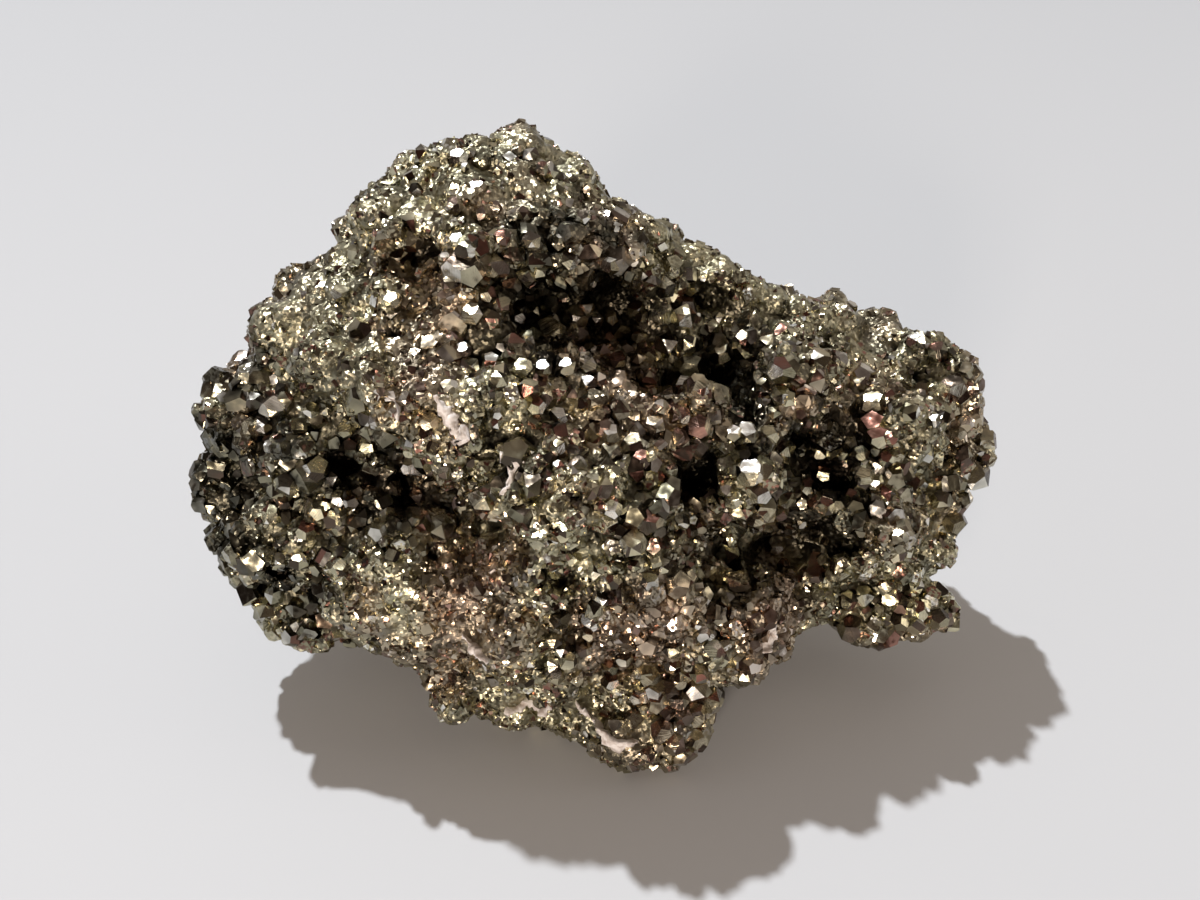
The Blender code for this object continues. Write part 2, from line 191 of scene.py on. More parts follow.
# The crystals that stand out, by the part they grow on: tint, place and half-width, in millimetres.
PLACED = {
    "gully rim": (
        ("flare", -19, -15, 62, 1.1), ("white", -15, -18, 62, 1.2), ("cream", -14, -21, 61, 1.3),
        ("flare", -8, -18, 61, 1.1), ("cream", -8, -18, 59, 0.9), ("flare", -5, -16, 60, 1.1),
        ("flare", -6, 4, 60, 0.9), ("cream", -2, -15, 59, 1.2), ("steel", -2, -17, 58, 1.2),
        ("white", -6, -22, 56, 1.2), ("cream", -10, -20, 59, 1.6), ("cream", -8, -19, 57, 1.6),
        ("brick", -9, -21, 57, 1.1), ("brick", -12, -15, 63, 1.4), ("olive", -11, -18, 61, 1.2),
        ("white", -14, -24, 58, 0.9),
    ),
    "gully": (
        ("cream", -4, 2, 58, 1.7), ("olive", -11, 2, 59, 1.4), ("cream", -13, -11, 66, 0.8),
        ("olive", -8, -1, 57, 2.1), ("cream", 1, 5, 56, 1.1), ("brick", 5, 4, 58, 1.4),
        ("brick", 1, 2, 54, 0.9), ("brick", -2, -1, 65, 0.9), ("brick", 2, -3, 53, 1.5),
        ("cream", -2, -3, 55, 1.0), ("olive", -18, -12, 66, 1.4), ("brick", -13, -6, 67, 1.4),
        ("olive", -11, -5, 68, 1.4), ("cream", -16, -10, 68, 1.1), ("olive", 5, 1, 63, 1.0),
        ("cream", -5, -2, 60, 1.3), ("steel", -8, 0, 61, 1.2), ("white", -1, 1, 58, 1.1),
        ("cream", 3, 0, 56, 1.3), ("olive", -14, -8, 65, 1.3), ("cream", -12, -9, 64, 1.1),
    ),
    "arch": (
        ("white", 9, 3, 58, 2.0), ("cream", 12, 2, 58, 1.8), ("dark", 10, 2, 53, 2.2),
        ("umber", 13, -1, 55, 1.4), ("cream", 9, 2, 63, 1.6), ("olive", 13, 4, 62, 1.4),
        ("olive", 13, -3, 52, 2.0), ("gold", 18, 1, 52, 1.7), ("cream", 18, 5, 56, 0.9),
        ("cream", 6, 4, 57, 1.1), ("olive", 17, 4, 55, 1.1), ("cream", 21, -1, 56, 1.1),
        ("umber", 22, -3, 53, 1.4),
    ),
    "knob in the gully": (
        ("white", 12, -5, 50, 1.5), ("cream", 13, -17, 57, 1.2), ("umber", 9, -16, 55, 1.7),
        ("brick", 11, -19, 54, 1.1), ("brick", 13, -20, 53, 1.5), ("white", 8, -17, 54, 1.1),
        ("cream", 7, -20, 53, 1.5), ("brick", 10, -21, 52, 1.2),
    ),
    "under the brow": (
        ("umber", -19, -7, 70, 2.5), ("cream", -15, -6, 70, 1.8), ("olive", -19, -6, 73, 1.4),
        ("flare", -20, -6, 74, 1.0), ("white", -22, -5, 71, 0.8), ("steel", 1, -1, 68, 1.3),
        ("olive", -9, -5, 69, 1.3), ("umber", -5, -4, 70, 1.3), ("white", -6, -3, 73, 0.8),
        ("cream", -21, -9, 69, 1.1),
    ),
    "ledge": (
        ("white", 1, -22, 53, 1.2), ("cream", 1, -25, 52, 1.6), ("olive", 4, -23, 52, 1.5),
        ("umber", 0, -22, 54, 1.1), ("steel", -6, -29, 53, 0.7), ("brick", -14, -25, 57, 0.9),
        ("olive", -6, -25, 53, 1.1), ("brick", -21, -14, 63, 0.8),
    ),
    "middle knob": (
        ("white", 20, -19, 51, 1.5), ("white", 18, -19, 51, 1.0), ("cream", 19, -21, 49, 1.1),
        ("cream", 23, -18, 50, 1.3), ("olive", 27, -11, 43, 1.6), ("white", 20, -24, 48, 1.9),
        ("dark", 21, -26, 46, 1.5), ("cream", 17, -25, 46, 1.4), ("olive", 18, -25, 44, 1.2),
        ("cream", 17, -25, 43, 1.0), ("white", 20, -26, 44, 0.8), ("brick", 22, -26, 42, 1.0),
        ("umber", 21, -27, 42, 1.1), ("cream", 27, -14, 33, 1.4), ("brick", 26, -22, 42, 1.3),
    ),
    "east knob": (
        ("brick", 25, -12, 57, 1.7), ("cream", 25, -14, 54, 1.4), ("cream", 22, -12, 53, 1.1),
        ("brick", 23, -13, 53, 1.0), ("white", 32, -4, 57, 0.7), ("cream", 35, -9, 56, 0.9),
        ("cream", 24, -15, 52, 0.9), ("olive", 26, -15, 54, 1.1),
    ),
    "east hollows": (
        ("brick", 33, -17, 36, 1.5), ("brick", 32, -16, 36, 1.2), ("cream", 35, -17, 36, 0.9),
        ("brick", 31, -13, 37, 1.2), ("brick", 40, -10, 46, 1.8), ("white", 40, -12, 45, 0.9),
        ("cream", 39, -14, 40, 1.3), ("brick", 42, -16, 38, 1.3), ("olive", 37, -19, 37, 1.5),
        ("white", 27, -14, 26, 1.4), ("cream", 26, -14, 30, 1.2), ("brick", 29, -15, 30, 0.9),
        ("umber", 36, -8, 40, 1.5), ("brick", 42, -13, 46, 1.0), ("cream", 37, -10, 41, 1.2),
        ("umber", 36, -10, 41, 1.3), ("cream", 39, -10, 41, 1.2), ("brick", 41, -10, 44, 1.4),
        ("olive", 39, -10, 37, 1.2), ("brick", 34, -10, 37, 1.2), ("brick", 43, -10, 40, 1.1),
        ("cream", 42, -10, 36, 1.0), ("umber", 35, -10, 32, 1.3), ("brick", 39, -10, 33, 0.9),
        ("olive", 33, -10, 41, 1.1), ("white", 40, -10, 39, 0.7), ("flare", 37, -10, 39, 0.6),
    ),
    "east rim": (
        ("white", 49, 5, 52, 1.4), ("cream", 50, 4, 52, 1.1), ("brick", 52, 3, 51, 1.6),
        ("umber", 53, -4, 49, 1.8), ("white", 56, -5, 43, 1.2), ("brick", 60, -6, 37, 0.9),
        ("cream", 58, -8, 35, 2.2), ("cream", 53, -6, 39, 1.4), ("olive", 55, -5, 41, 1.4),
        ("umber", 53, -10, 32, 1.6), ("cream", 55, -12, 29, 1.6), ("steel", 49, -10, 47, 1.0),
    ),
    "east foot": (
        ("cream", 37, -16, 22, 1.6), ("brick", 34, -14, 20, 1.4), ("cream", 39, -17, 17, 1.6),
        ("cream", 41, -18, 19, 1.6), ("umber", 28, -22, 26, 1.2), ("umber", 47, -19, 18, 1.4),
        ("brick", 50, -19, 17, 1.3), ("umber", 53, -20, 16, 1.4), ("dark", 40, -19, 13, 2.2),
    ),
    "belly": (
        ("cream", 4, -33, 43, 1.7), ("brick", 4, -34, 40, 0.9), ("brick", 2, -33, 40, 0.9),
        ("cream", 6, -35, 38, 1.2), ("brick", 16, -23, 31, 0.7), ("white", 13, -29, 39, 1.2),
        ("white", 8, -33, 39, 1.2), ("flare", 13, -34, 29, 0.8), ("flare", 15, -34, 27, 0.8),
        ("white", -2, -35, 31, 1.1), ("umber", -2, -36, 29, 1.0), ("steel", -9, -33, 37, 1.0),
        ("umber", -1, -33, 38, 1.2), ("white", 1, -32, 48, 1.2), ("brick", 6, -32, 46, 1.5),
        ("brick", 5, -25, 51, 1.1), ("gold", -5, -35, 47, 0.9),
    ),
    "chin": (
        ("cream", 7, -31, 15, 1.5), ("brick", 5, -33, 13, 1.2), ("brick", 8, -33, 12, 1.5),
        ("umber", 11, -33, 12, 1.8), ("white", 11, -33, 16, 1.2), ("cream", 14, -33, 9, 1.4),
        ("cream", 10, -34, 21, 1.4), ("cream", 14, -32, 13, 1.8), ("cream", -5, -36, 24, 1.3),
        ("steel", -7, -37, 24, 1.1), ("cream", -7, -36, 28, 1.1), ("brick", 1, -31, 17, 1.3),
        ("white", 8, -39, 9, 0.9), ("olive", 14, -35, 20, 1.3), ("cream", 6, -33, 14, 1.7),
        ("cream", 8, -33, 14, 1.7), ("cream", 11, -33, 11, 1.4), ("cream", 14, -33, 8, 1.5),
        ("cream", 16, -33, 12, 1.8), ("cream", 19, -33, 10, 1.5), ("dark", 10, -33, 14, 1.4),
        ("umber", 12, -33, 8, 1.5), ("brick", 1, -33, 16, 1.3), ("cream", 11, -33, 2, 1.7),
        ("cream", 14, -33, 3, 1.4), ("dark", 9, -33, 5, 1.4), ("cream", -1, -33, 1, 1.4),
        ("brick", 7, -33, -1, 1.1), ("olive", 6, -33, 18, 1.3), ("cream", 12, -33, 18, 1.3),
    ),
    "under the belly": (
        ("cream", -6, -33, 23, 1.3), ("white", -7, -33, 17, 1.2), ("cream", -4, -33, 17, 1.3),
        ("umber", -3, -33, 23, 1.3), ("white", 14, -33, 26, 1.1), ("white", 16, -33, 23, 1.2),
        ("brick", -1, -33, 28, 1.0), ("dark", -1, -33, 31, 1.6), ("umber", 0, -33, 33, 1.3),
        ("white", 25, -33, 24, 1.0), ("dark", 3, -33, 21, 1.2), ("umber", 10, -33, 23, 1.2),
        ("dark", -6, -33, 29, 1.3),
    ),
    "west pits": (
        ("cream", -41, -19, 45, 1.6), ("umber", -39, -19, 43, 1.3), ("white", -39, -21, 42, 0.7),
        ("dark", -45, -20, 43, 1.9), ("umber", -46, -20, 40, 1.3), ("olive", -41, -21, 39, 1.4),
        ("brick", -40, -21, 40, 1.0), ("brick", -36, -22, 41, 0.9), ("cream", -38, -21, 41, 1.1),
        ("steel", -39, -22, 38, 1.3), ("brick", -43, -22, 36, 1.3), ("flare", -38, -23, 37, 1.0),
        ("cream", -37, -29, 35, 1.3), ("cream", -44, -25, 33, 1.3), ("olive", -48, -21, 38, 1.4),
        ("olive", -51, -13, 48, 1.5), ("cream", -52, -11, 50, 0.7), ("steel", -47, -14, 52, 1.7),
        ("dark", -49, -14, 49, 1.4), ("cream", -36, -18, 51, 1.0), ("cream", -33, -19, 49, 1.1),
        ("olive", -41, -16, 53, 1.1), ("white", -28, -17, 44, 1.2), ("cream", -27, -17, 43, 0.9),
        ("steel", -26, -24, 60, 1.0), ("white", -21, -28, 51, 0.9), ("olive", -23, -25, 57, 1.2),
        ("cream", -17, -29, 50, 1.1), ("olive", -19, -29, 47, 0.9), ("umber", -23, -27, 51, 1.1),
        ("brick", -27, -29, 38, 0.6), ("umber", -27, -19, 40, 1.2),
    ),
    "crown": (
        ("flare", -21, 9, 80, 1.2), ("white", -20, 8, 79, 0.7), ("flare", -18, 5, 77, 1.1),
        ("cream", -19, 3, 77, 0.8), ("umber", -8, 9, 78, 1.3), ("brick", -9, 10, 78, 1.0),
        ("cream", -37, -6, 66, 1.1), ("cream", -29, -10, 67, 1.1), ("umber", -3, 2, 74, 1.1),
        ("white", 2, 3, 72, 0.7), ("umber", -21, 1, 76, 1.3), ("umber", -17, -2, 76, 1.2),
        ("brick", -14, -5, 74, 1.2), ("umber", -11, -2, 76, 1.2), ("umber", -10, -4, 73, 1.2),
        ("brick", -18, -6, 74, 1.0),
    ),
}

# Where each tint lies on the ramp of the pyrite's colours; on a placed crystal's best face the tint is
# partly painted reflection.
TINTS = {
    "dark": 0.05,
    "umber": 0.19,
    "brick": 0.24,
    "olive": 0.45,
    "gold": 0.7,
    "cream": 0.78,
    "steel": 0.94,
    "white": 0.97,
    "flare": 0.99,
}

# Pale gangue that films the druse: name, half-width and points along it, in millimetres.
VEINS = (
    ("ledge", 1.0, ((-22, -23, 60), (-21, -24, 58), (-20, -26, 56), (-19, -27, 56), (-17, -27, 54))),
    (
        "ledge east",
        1.2,
        ((-14, -28, 54), (-13, -27, 54), (-11, -27, 54), (-12, -28, 53), (-13, -30, 51), (-14, -30, 49)),
    ),
    ("ledge west", 0.7, ((-28, -24, 60), (-27, -25, 59), (-27, -25, 57))),
    ("belly west", 1.4, ((-20, -33, 26), (-18, -35, 25), (-16, -37, 25))),
    ("belly foot", 1.3, ((-15, -32, 9), (-13, -32, 9), (-10, -32, 10), (-8, -35, 14))),
    ("chin", 1.2, ((-4, -34, 12), (-2, -35, 10), (0, -37, 10), (2, -38, 9), (5, -38, 9))),
    ("belly east", 1.1, ((25, -30, 24), (26, -28, 20), (24, -31, 20))),
    ("back", 1.3, ((-22, 33, 43), (-18, 36, 39), (-8, 34, 30))),
    ("back east", 1.2, ((20, 32, 30), (27, 28, 27), (33, 26, 20))),
    ("back foot", 1.2, ((-3, 37, 15), (5, 34, 12))),
)

# Where the lumps are bare of all but the finest grains: name, centre and reach, in millimetres.
SMOOTH_SPOTS = (
    ("crown", (-14, 14, 80), 18),
    ("crown west", (-28, 7, 74), 12),
    ("west shoulder", (-40, 0, 60), 16),
    ("west chest", (-31, -14, 58), 10),
    ("ridge", (8, 10, 65), 11),
    ("ridge middle", (24, 9, 59), 12),
    ("ridge east", (42, 9, 53), 12),
    ("east jowl", (53, -5, 25), 11),
    ("west belly", (-30, -27, 22), 12),
    ("chin", (-2, -36, 9), 10),
    ("back", (-20, 32, 52), 14),
    ("back east", (34, 24, 22), 13),
    ("back foot", (-14, 32, 12), 13),
)

# Darker grey-green patches, partly dull tone and partly painted shade: name, centre and reach, in
# millimetres.
DULL_AND_SHADE_SPOTS = (
    ("west", (-55, -10, 34), 30),
    ("west pits", (-38, -18, 44), 20),
    ("under the brow", (-6, 2, 66), 16),
    ("gully east", (18, -4, 54), 12),
    ("east hollows", (34, -12, 38), 16),
    ("back foot", (10, 32, 14), 22),
)

# Where the druse has tarnished red-brown: name, centre and reach, in millimetres.
BROWN_SPOTS = (
    ("belly", (6, -30, 26), 17),
    ("belly west", (-16, -34, 32), 13),
    ("belly east", (24, -28, 22), 13),
    ("gully floor", (2, -8, 56), 12),
    ("east knob", (28, -12, 50), 11),
    ("east hollows", (40, -12, 36), 13),
    ("brow", (0, 4, 70), 10),
    ("back", (-6, 30, 45), 20),
)

# Small tools


def linear(code):
    """The linear colour of an sRGB hex code."""
    channels = [int(code[i : i + 2], 16) / 255 for i in (1, 3, 5)]
    return tuple(c / 12.92 if c <= 0.04045 else ((c + 0.055) / 1.055) ** 2.4 for c in channels)


def colour(code):
    """The linear colour of a hex code with full alpha, as a colour socket takes it."""
    return (*linear(code), 1.0)


def add(tree, kind, inputs=None, **settings):
    """Adds a node with its settings, and gives each named input a value or a link."""
    made = tree.nodes.new(kind)
    for name, value in settings.items():
        setattr(made, name, value)
    for key, value in (inputs or {}).items():
        if isinstance(value, bpy.types.NodeSocket):
            tree.links.new(value, made.inputs[key])
        else:
            made.inputs[key].default_value = value
    return made


def group(name, **sockets):
    """A Geometry Nodes group with named inputs, and its input and output nodes."""
    tree = bpy.data.node_groups.new(name, "GeometryNodeTree")
    tree.interface.new_socket("Geometry", in_out="INPUT", socket_type="NodeSocketGeometry")
    for key, kind in sockets.items():
        label = key.replace("_", " ").title()
        tree.interface.new_socket(label, in_out="INPUT", socket_type="NodeSocket" + kind)
    tree.interface.new_socket("Geometry", in_out="OUTPUT", socket_type="NodeSocketGeometry")
    return tree, add(tree, "NodeGroupInput").outputs, add(tree, "NodeGroupOutput")


def evaluated_mesh(obj):
    """The plain mesh that an object's modifiers make."""
    graph = bpy.context.evaluated_depsgraph_get()
    return bpy.data.meshes.new_from_object(obj.evaluated_get(graph))


def run_tree(obj, tree, **inputs):
    """The plain mesh that a node group makes of an object, with the group's inputs as given."""
    modifier = obj.modifiers.new(tree.name, "NODES")
    modifier.node_group = tree
    for item in tree.interface.items_tree:
        key = item.name.replace(" ", "_").lower()
        if item.in_out == "INPUT" and key in inputs:
            modifier[item.identifier] = inputs[key]
    made = evaluated_mesh(obj)
    obj.modifiers.remove(modifier)
    return made


def linked(name, data):
    """A new object in the scene that holds a mesh or a light."""
    made = bpy.data.objects.new(name, data)
    bpy.context.scene.collection.objects.link(made)
    return made


def object_from(bm, name):
    """An object that holds a bmesh, which is freed."""
    mesh = bpy.data.meshes.new(name)
    bm.to_mesh(mesh)
    bm.free()
    return linked(name, mesh)


def skin_of(mesh):
    """A tree for casting rays at a mesh."""
    bm = bmesh.new()
    bm.from_mesh(mesh)
    skin = BVHTree.FromBMesh(bm)
    bm.free()
    return skin


def read(items, name, width=1, kind=np.float32):
    """One property of all items as an array, with a row for each item where it has several numbers."""
    flat = np.empty(len(items) * width, dtype=kind)
    items.foreach_get(name, flat)
    return flat.reshape(-1, width) if width > 1 else flat


def coordinates(mesh):
    """A mesh's vertices as an array."""
    return read(mesh.vertices, "co", 3)


def outward(mesh):
    """The normals of a mesh's vertices as an array."""
    return read(mesh.vertex_normals, "vector", 3)


def settle(mesh, points):
    """Moves a mesh's vertices to new places, and those below the floor up to it."""
    points[:, 2] = np.maximum(points[:, 2], 0.0)
    mesh.vertices.foreach_set("co", points.astype(np.float32).ravel())
    mesh.update()


def store(mesh, name, values, domain="POINT"):
    """Keeps one number for each vertex or face as an attribute, in place of any of that name."""
    if name in mesh.attributes:
        mesh.attributes.remove(mesh.attributes[name])
    layer = mesh.attributes.new(name, "FLOAT", domain)
    layer.data.foreach_set("value", np.asarray(values, dtype=np.float32))


def rise(values, start, width):
    """From 0 up to a start to 1 a width beyond it."""
    return np.clip((values - start) / width, 0, 1)


def closeness(points, centre, reach):
    """From 1 around a centre to 0 at its reach, both in millimetres."""
    away = np.linalg.norm(points - np.array(centre) * MM, axis=1) / (reach * MM)
    return np.clip(1.6 * (1 - away), 0, 1)


def near(points, spots):
    """The greatest closeness to any of the named spots."""
    share = np.zeros(len(points))
    for _, centre, reach in spots:
        share = np.maximum(share, closeness(points, centre, reach))
    return share


# Settings


def length_setting(name, description, millimetres):
    """A length that a user may change."""
    return bpy.props.FloatProperty(
        name=name, description=description, default=millimetres * MM, unit="LENGTH"
    )


def colour_setting(name, description, code):
    """A colour that a user may change."""
    return bpy.props.FloatVectorProperty(
        name=name, description=description, subtype="COLOR", size=3, default=linear(code)
    )


class PyriteMassSettings(bpy.types.PropertyGroup):
    """Sizes of the mass under the crystals"""

    grid: length_setting("Grid", "Spacing of the mass's mesh", 0.76)
    lump_size: length_setting("Lump Size", "Width of the rounded clusters", 9.0)
    lump_height: length_setting("Lump Height", "How far a cluster stands out", 2.6)
    bead_size: length_setting("Bead Size", "Width of the beads on a cluster", 4.2)
    bead_height: length_setting("Bead Height", "How far a bead stands out", 1.7)


class PyriteCrystalSettings(bpy.types.PropertyGroup):
    """Sizes of the crystals"""

    show_size: length_setting("Show Crystals", "Half-width of the largest crystals", 2.0)
    coarse_size: length_setting("Coarse Crystals", "Half-width of the common crystals", 1.6)
    fine_size: length_setting("Fine Crystals", "Half-width of the slopes' crystals", 0.74)


class PyriteFinishSettings(bpy.types.PropertyGroup):
    """Colours of the specimen"""

    umber: colour_setting("Umber", "Dark tarnish", "#4a4138")
    bronze: colour_setting("Bronze", "Red-brown tarnish", "#8f6053")
    olive: colour_setting("Olive", "Dulled pyrite", "#aaa589")
    brass: colour_setting("Brass", "Clean pyrite", "#d0c9ab")
    pale: colour_setting("Pale", "Brightest faces", "#f2f0e6")
    gangue: colour_setting("Gangue", "Pale film", "#efe8e2")


class PyriteStageSettings(bpy.types.PropertyGroup):
    """The floor and the lights"""

    floor: colour_setting("Floor", "Colour of the floor", "#bcbdbe")
    key: bpy.props.FloatProperty(name="Key", description="Strength of the key light", default=3.65)
    fill: bpy.props.FloatProperty(name="Fill", description="Strength of the soft lights", default=1.0)


# Materials


def fine_facets(tree, place, grain, broken):
    """Facets too small to be modelled: a random number and colour for each, and their share of a face; the
    number's pale picks partly paint glints.

    They are drawn as cells. They make up nearly all of some crystals and none of others, and broken gives
    their least and greatest share.
    """
    cells = add(tree, "ShaderNodeTexVoronoi", {"Vector": place, "Scale": 1 / (FACET_SIZE * MM)})
    drawn = add(tree, "ShaderNodeTexWhiteNoise", {"Vector": cells.outputs["Position"]})
    field = add(tree, "ShaderNodeTexNoise", {"Vector": place, "Scale": 1 / (7 * MM), "Detail": 2.0})
    total = add(tree, "ShaderNodeMath", {0: field.outputs["Fac"], 1: grain}, operation="ADD")
    least, most = broken
    share = add(
        tree,
        "ShaderNodeMapRange",
        {"Value": total.outputs[0], "From Min": 0.85, "From Max": 1.25, "To Min": least, "To Max": most},
    )
    return drawn.outputs, share.outputs[0]


def face_colour(tree, finish, facet, drawn, share, contrast):
    """The metal's colour under tarnish and shade: each face's number picks it and each fine facet's number
    shifts it; a placed crystal's listed tint and a fine facet's pale pick are partly painted reflection.
    """
    # Each fine facet picks olive to near-white, partly random tone and partly painted glints.
    fine = add(tree, "ShaderNodeMapRange", {"Value": drawn["Value"], "To Min": 0.33, "To Max": 1.0})
    number = add(
        tree, "ShaderNodeMix", {"Factor": share, "A": facet, "B": fine.outputs[0]}, data_type="FLOAT"
    )
    centred = add(
        tree,
        "ShaderNodeMapRange",
        {"Value": number.outputs[0], "To Min": 0.5 - contrast / 2, "To Max": 0.5 + contrast / 2},
    )
    ramp = add(tree, "ShaderNodeValToRGB", {"Fac": centred.outputs[0]})
    stops = (
        (0.0, finish.umber),
        (0.22, finish.umber),
        (0.25, finish.bronze),
        (0.29, finish.bronze),
        (0.32, finish.olive),
        (0.56, finish.olive),
        (0.62, finish.brass),
        (0.8, finish.brass),
        (0.87, finish.pale),
    )
    elements = ramp.color_ramp.elements
    for position, _ in stops[2:]:
        elements.new(position)
    for element, (position, stop) in zip(elements, stops):
        element.position = position
        element.color = (*stop, 1.0)
    return ramp.outputs["Color"]


def tarnished_and_shaded(tree, place, clean):
    """The colour after tarnish, dulling and painted shade."""
    pocket_shade, brown, dull_and_shade, root = (
        add(tree, "ShaderNodeAttribute", attribute_name=name).outputs["Fac"]
        for name in ("pocket_shade", "brown", "dull_and_shade", "root")
    )
    # Whole patches of the druse have gone brown.
    patches = add(tree, "ShaderNodeTexNoise", {"Vector": place, "Scale": 1 / (16 * MM), "Detail": 3.0})
    browned = add(
        tree, "ShaderNodeMath", {0: brown, 1: 0.2, 2: patches.outputs["Fac"]}, operation="MULTIPLY_ADD"
    )
    tarnish = add(
        tree,
        "ShaderNodeMapRange",
        {"Value": browned.outputs[0], "From Min": 0.46, "From Max": 0.74, "To Max": 0.6},
    )
    # Other patches are drawn darker grey-green, partly dull tone and partly painted shade, and the tone
    # drifts from lump to lump.
    drift = add(tree, "ShaderNodeTexNoise", {"Vector": place, "Scale": 1 / (4.5 * MM), "Detail": 2.0})
    tone = add(
        tree,
        "ShaderNodeMapRange",
        {"Value": drift.outputs["Fac"], "From Min": 0.35, "From Max": 0.6, "To Min": 0.6, "To Max": 0.0},
    )
    dulling_and_shade = add(tree, "ShaderNodeMath", {0: dull_and_shade, 1: 0.5, 2: tone.outputs[0]}, operation="MULTIPLY_ADD")
    # Painted shade: the colour is darkened to near-black in the pockets and at the roots of the crystals,
    # where shade falls.
    shut = add(tree, "ShaderNodeMath", {0: pocket_shade, 1: 0.46}, operation="MULTIPLY")
    shade = add(tree, "ShaderNodeMath", {0: root, 1: 0.4, 2: shut.outputs[0]}, operation="MULTIPLY_ADD")
    painted_shade = add(
        tree,
        "ShaderNodeMapRange",
        {"Value": shade.outputs[0], "From Min": 0.5, "From Max": 0.92, "To Max": 0.96},
    )
    # Tarnish, then dulling, then painted shade in near-black.
    layers = ((tarnish, "#ad9082"), (dulling_and_shade, "#4c4a40"), (painted_shade, "#17120e"))
    for amount, code in layers:
        mixed = add(
            tree,
            "ShaderNodeMix",
            {"Factor": amount.outputs[0], "A": clean, "B": colour(code)},
            data_type="RGBA",
        )
        clean = mixed.outputs[2]
    return clean


def face_normal(tree, place, drawn, share):
    """Normals of faces that are striated and never quite flat, with fine facets that lean every way."""
    # Striae run along a face, as its own map in millimetres does.
    along = add(tree, "ShaderNodeUVMap", uv_map="face map")
    stretched = add(
        tree, "ShaderNodeMapping", {"Vector": along.outputs["UV"], "Scale": (0.25, 5.5, 1.0)}
    )
    striae = add(tree, "ShaderNodeTexNoise", {"Vector": stretched.outputs[0], "Scale": 1.0, "Detail": 3.0})
    bump = add(
        tree,
        "ShaderNodeBump",
        {"Height": striae.outputs["Fac"], "Distance": 0.12 * MM, "Strength": 0.55},
    )
    field = add(tree, "ShaderNodeTexNoise", {"Vector": place, "Scale": 1 / (1.4 * MM), "Detail": 1.0})
    middle = (0.5, 0.5, 0.5)
    curve = add(tree, "ShaderNodeVectorMath", {0: field.outputs["Color"], 1: middle}, operation="SUBTRACT")
    curved = add(
        tree,
        "ShaderNodeVectorMath",
        {0: curve.outputs[0], 1: (0.5, 0.5, 0.5), 2: bump.outputs["Normal"]},
        operation="MULTIPLY_ADD",
    )
    lean = add(tree, "ShaderNodeVectorMath", {0: drawn["Color"], 1: middle}, operation="SUBTRACT")
    lean_by = add(tree, "ShaderNodeVectorMath", {0: lean.outputs[0], "Scale": share}, operation="SCALE")
    leaning = add(
        tree, "ShaderNodeVectorMath", {0: curved.outputs[0], 1: lean_by.outputs[0]}, operation="ADD"
    )
    return add(tree, "ShaderNodeVectorMath", {0: leaning.outputs[0]}, operation="NORMALIZE").outputs[0]


def pyrite_material(finish, name, roughness, contrast, broken):
    """Pyrite, an opaque brassy metal, with tarnish that differs from face to face, and painted shade in its
    pockets.

    Growth leaves each crystal face flat and mirror-smooth, crossed by fine parallel striae, and covers open
    slopes in faces too small to be modelled. Contrast is how much of the metal's colours the faces show, and
    broken is the least and the greatest share of fine facets.
    """
    material = bpy.data.materials.new(name)
    material.use_nodes = True
    tree = material.node_tree
    shader = tree.nodes["Principled BSDF"]
    shader.inputs["Metallic"].default_value = 1.0
    shader.inputs["Roughness"].default_value = roughness
    place = add(tree, "ShaderNodeTexCoord").outputs["Object"]
    facet = add(tree, "ShaderNodeAttribute", attribute_name="facet").outputs["Fac"]
    grain = add(tree, "ShaderNodeAttribute", attribute_name="grain").outputs["Fac"]
    drawn, share = fine_facets(tree, place, grain, broken)
    clean = face_colour(tree, finish, facet, drawn, share, contrast)
    tree.links.new(tarnished_and_shaded(tree, place, clean), shader.inputs["Base Color"])
    tree.links.new(face_normal(tree, place, drawn, share), shader.inputs["Normal"])
    return material


def gangue_material(finish):
    """Gangue, a matt white to lavender film of fine quartz and clay, stained where it is thin."""
    material = bpy.data.materials.new("gangue")
    material.use_nodes = True
    tree = material.node_tree
    shader = tree.nodes["Principled BSDF"]
    shader.inputs["Roughness"].default_value = 0.75
    place = add(tree, "ShaderNodeTexCoord").outputs["Object"]
    stain = add(tree, "ShaderNodeTexNoise", {"Vector": place, "Scale": 1 / (1.2 * MM), "Detail": 3.0})
    share = add(
        tree, "ShaderNodeMapRange", {"Value": stain.outputs["Fac"], "From Min": 0.42, "From Max": 0.66}
    )
    stained = add(
        tree,
        "ShaderNodeMix",
        {"Factor": share.outputs[0], "A": (*finish.gangue, 1.0), "B": colour("#b5a79c")},
        data_type="RGBA",
    )
    tree.links.new(stained.outputs[2], shader.inputs["Base Color"])
    grit = add(tree, "ShaderNodeTexNoise", {"Vector": place, "Scale": 1 / (0.35 * MM), "Detail": 2.0})
    bump = add(
        tree, "ShaderNodeBump", {"Height": grit.outputs["Fac"], "Distance": 0.2 * MM, "Strength": 0.6}
    )
    tree.links.new(bump.outputs["Normal"], shader.inputs["Normal"])
    return material


# The mass


def merged_copy(node, name):
    """A copy of a node of the frame with its loose triangles joined."""
    bm = bmesh.new()
    bm.from_mesh(frame["nodes"][node].data)
    bmesh.ops.remove_doubles(bm, verts=bm.verts[:], dist=0.001 * MM)
    return object_from(bm, name)


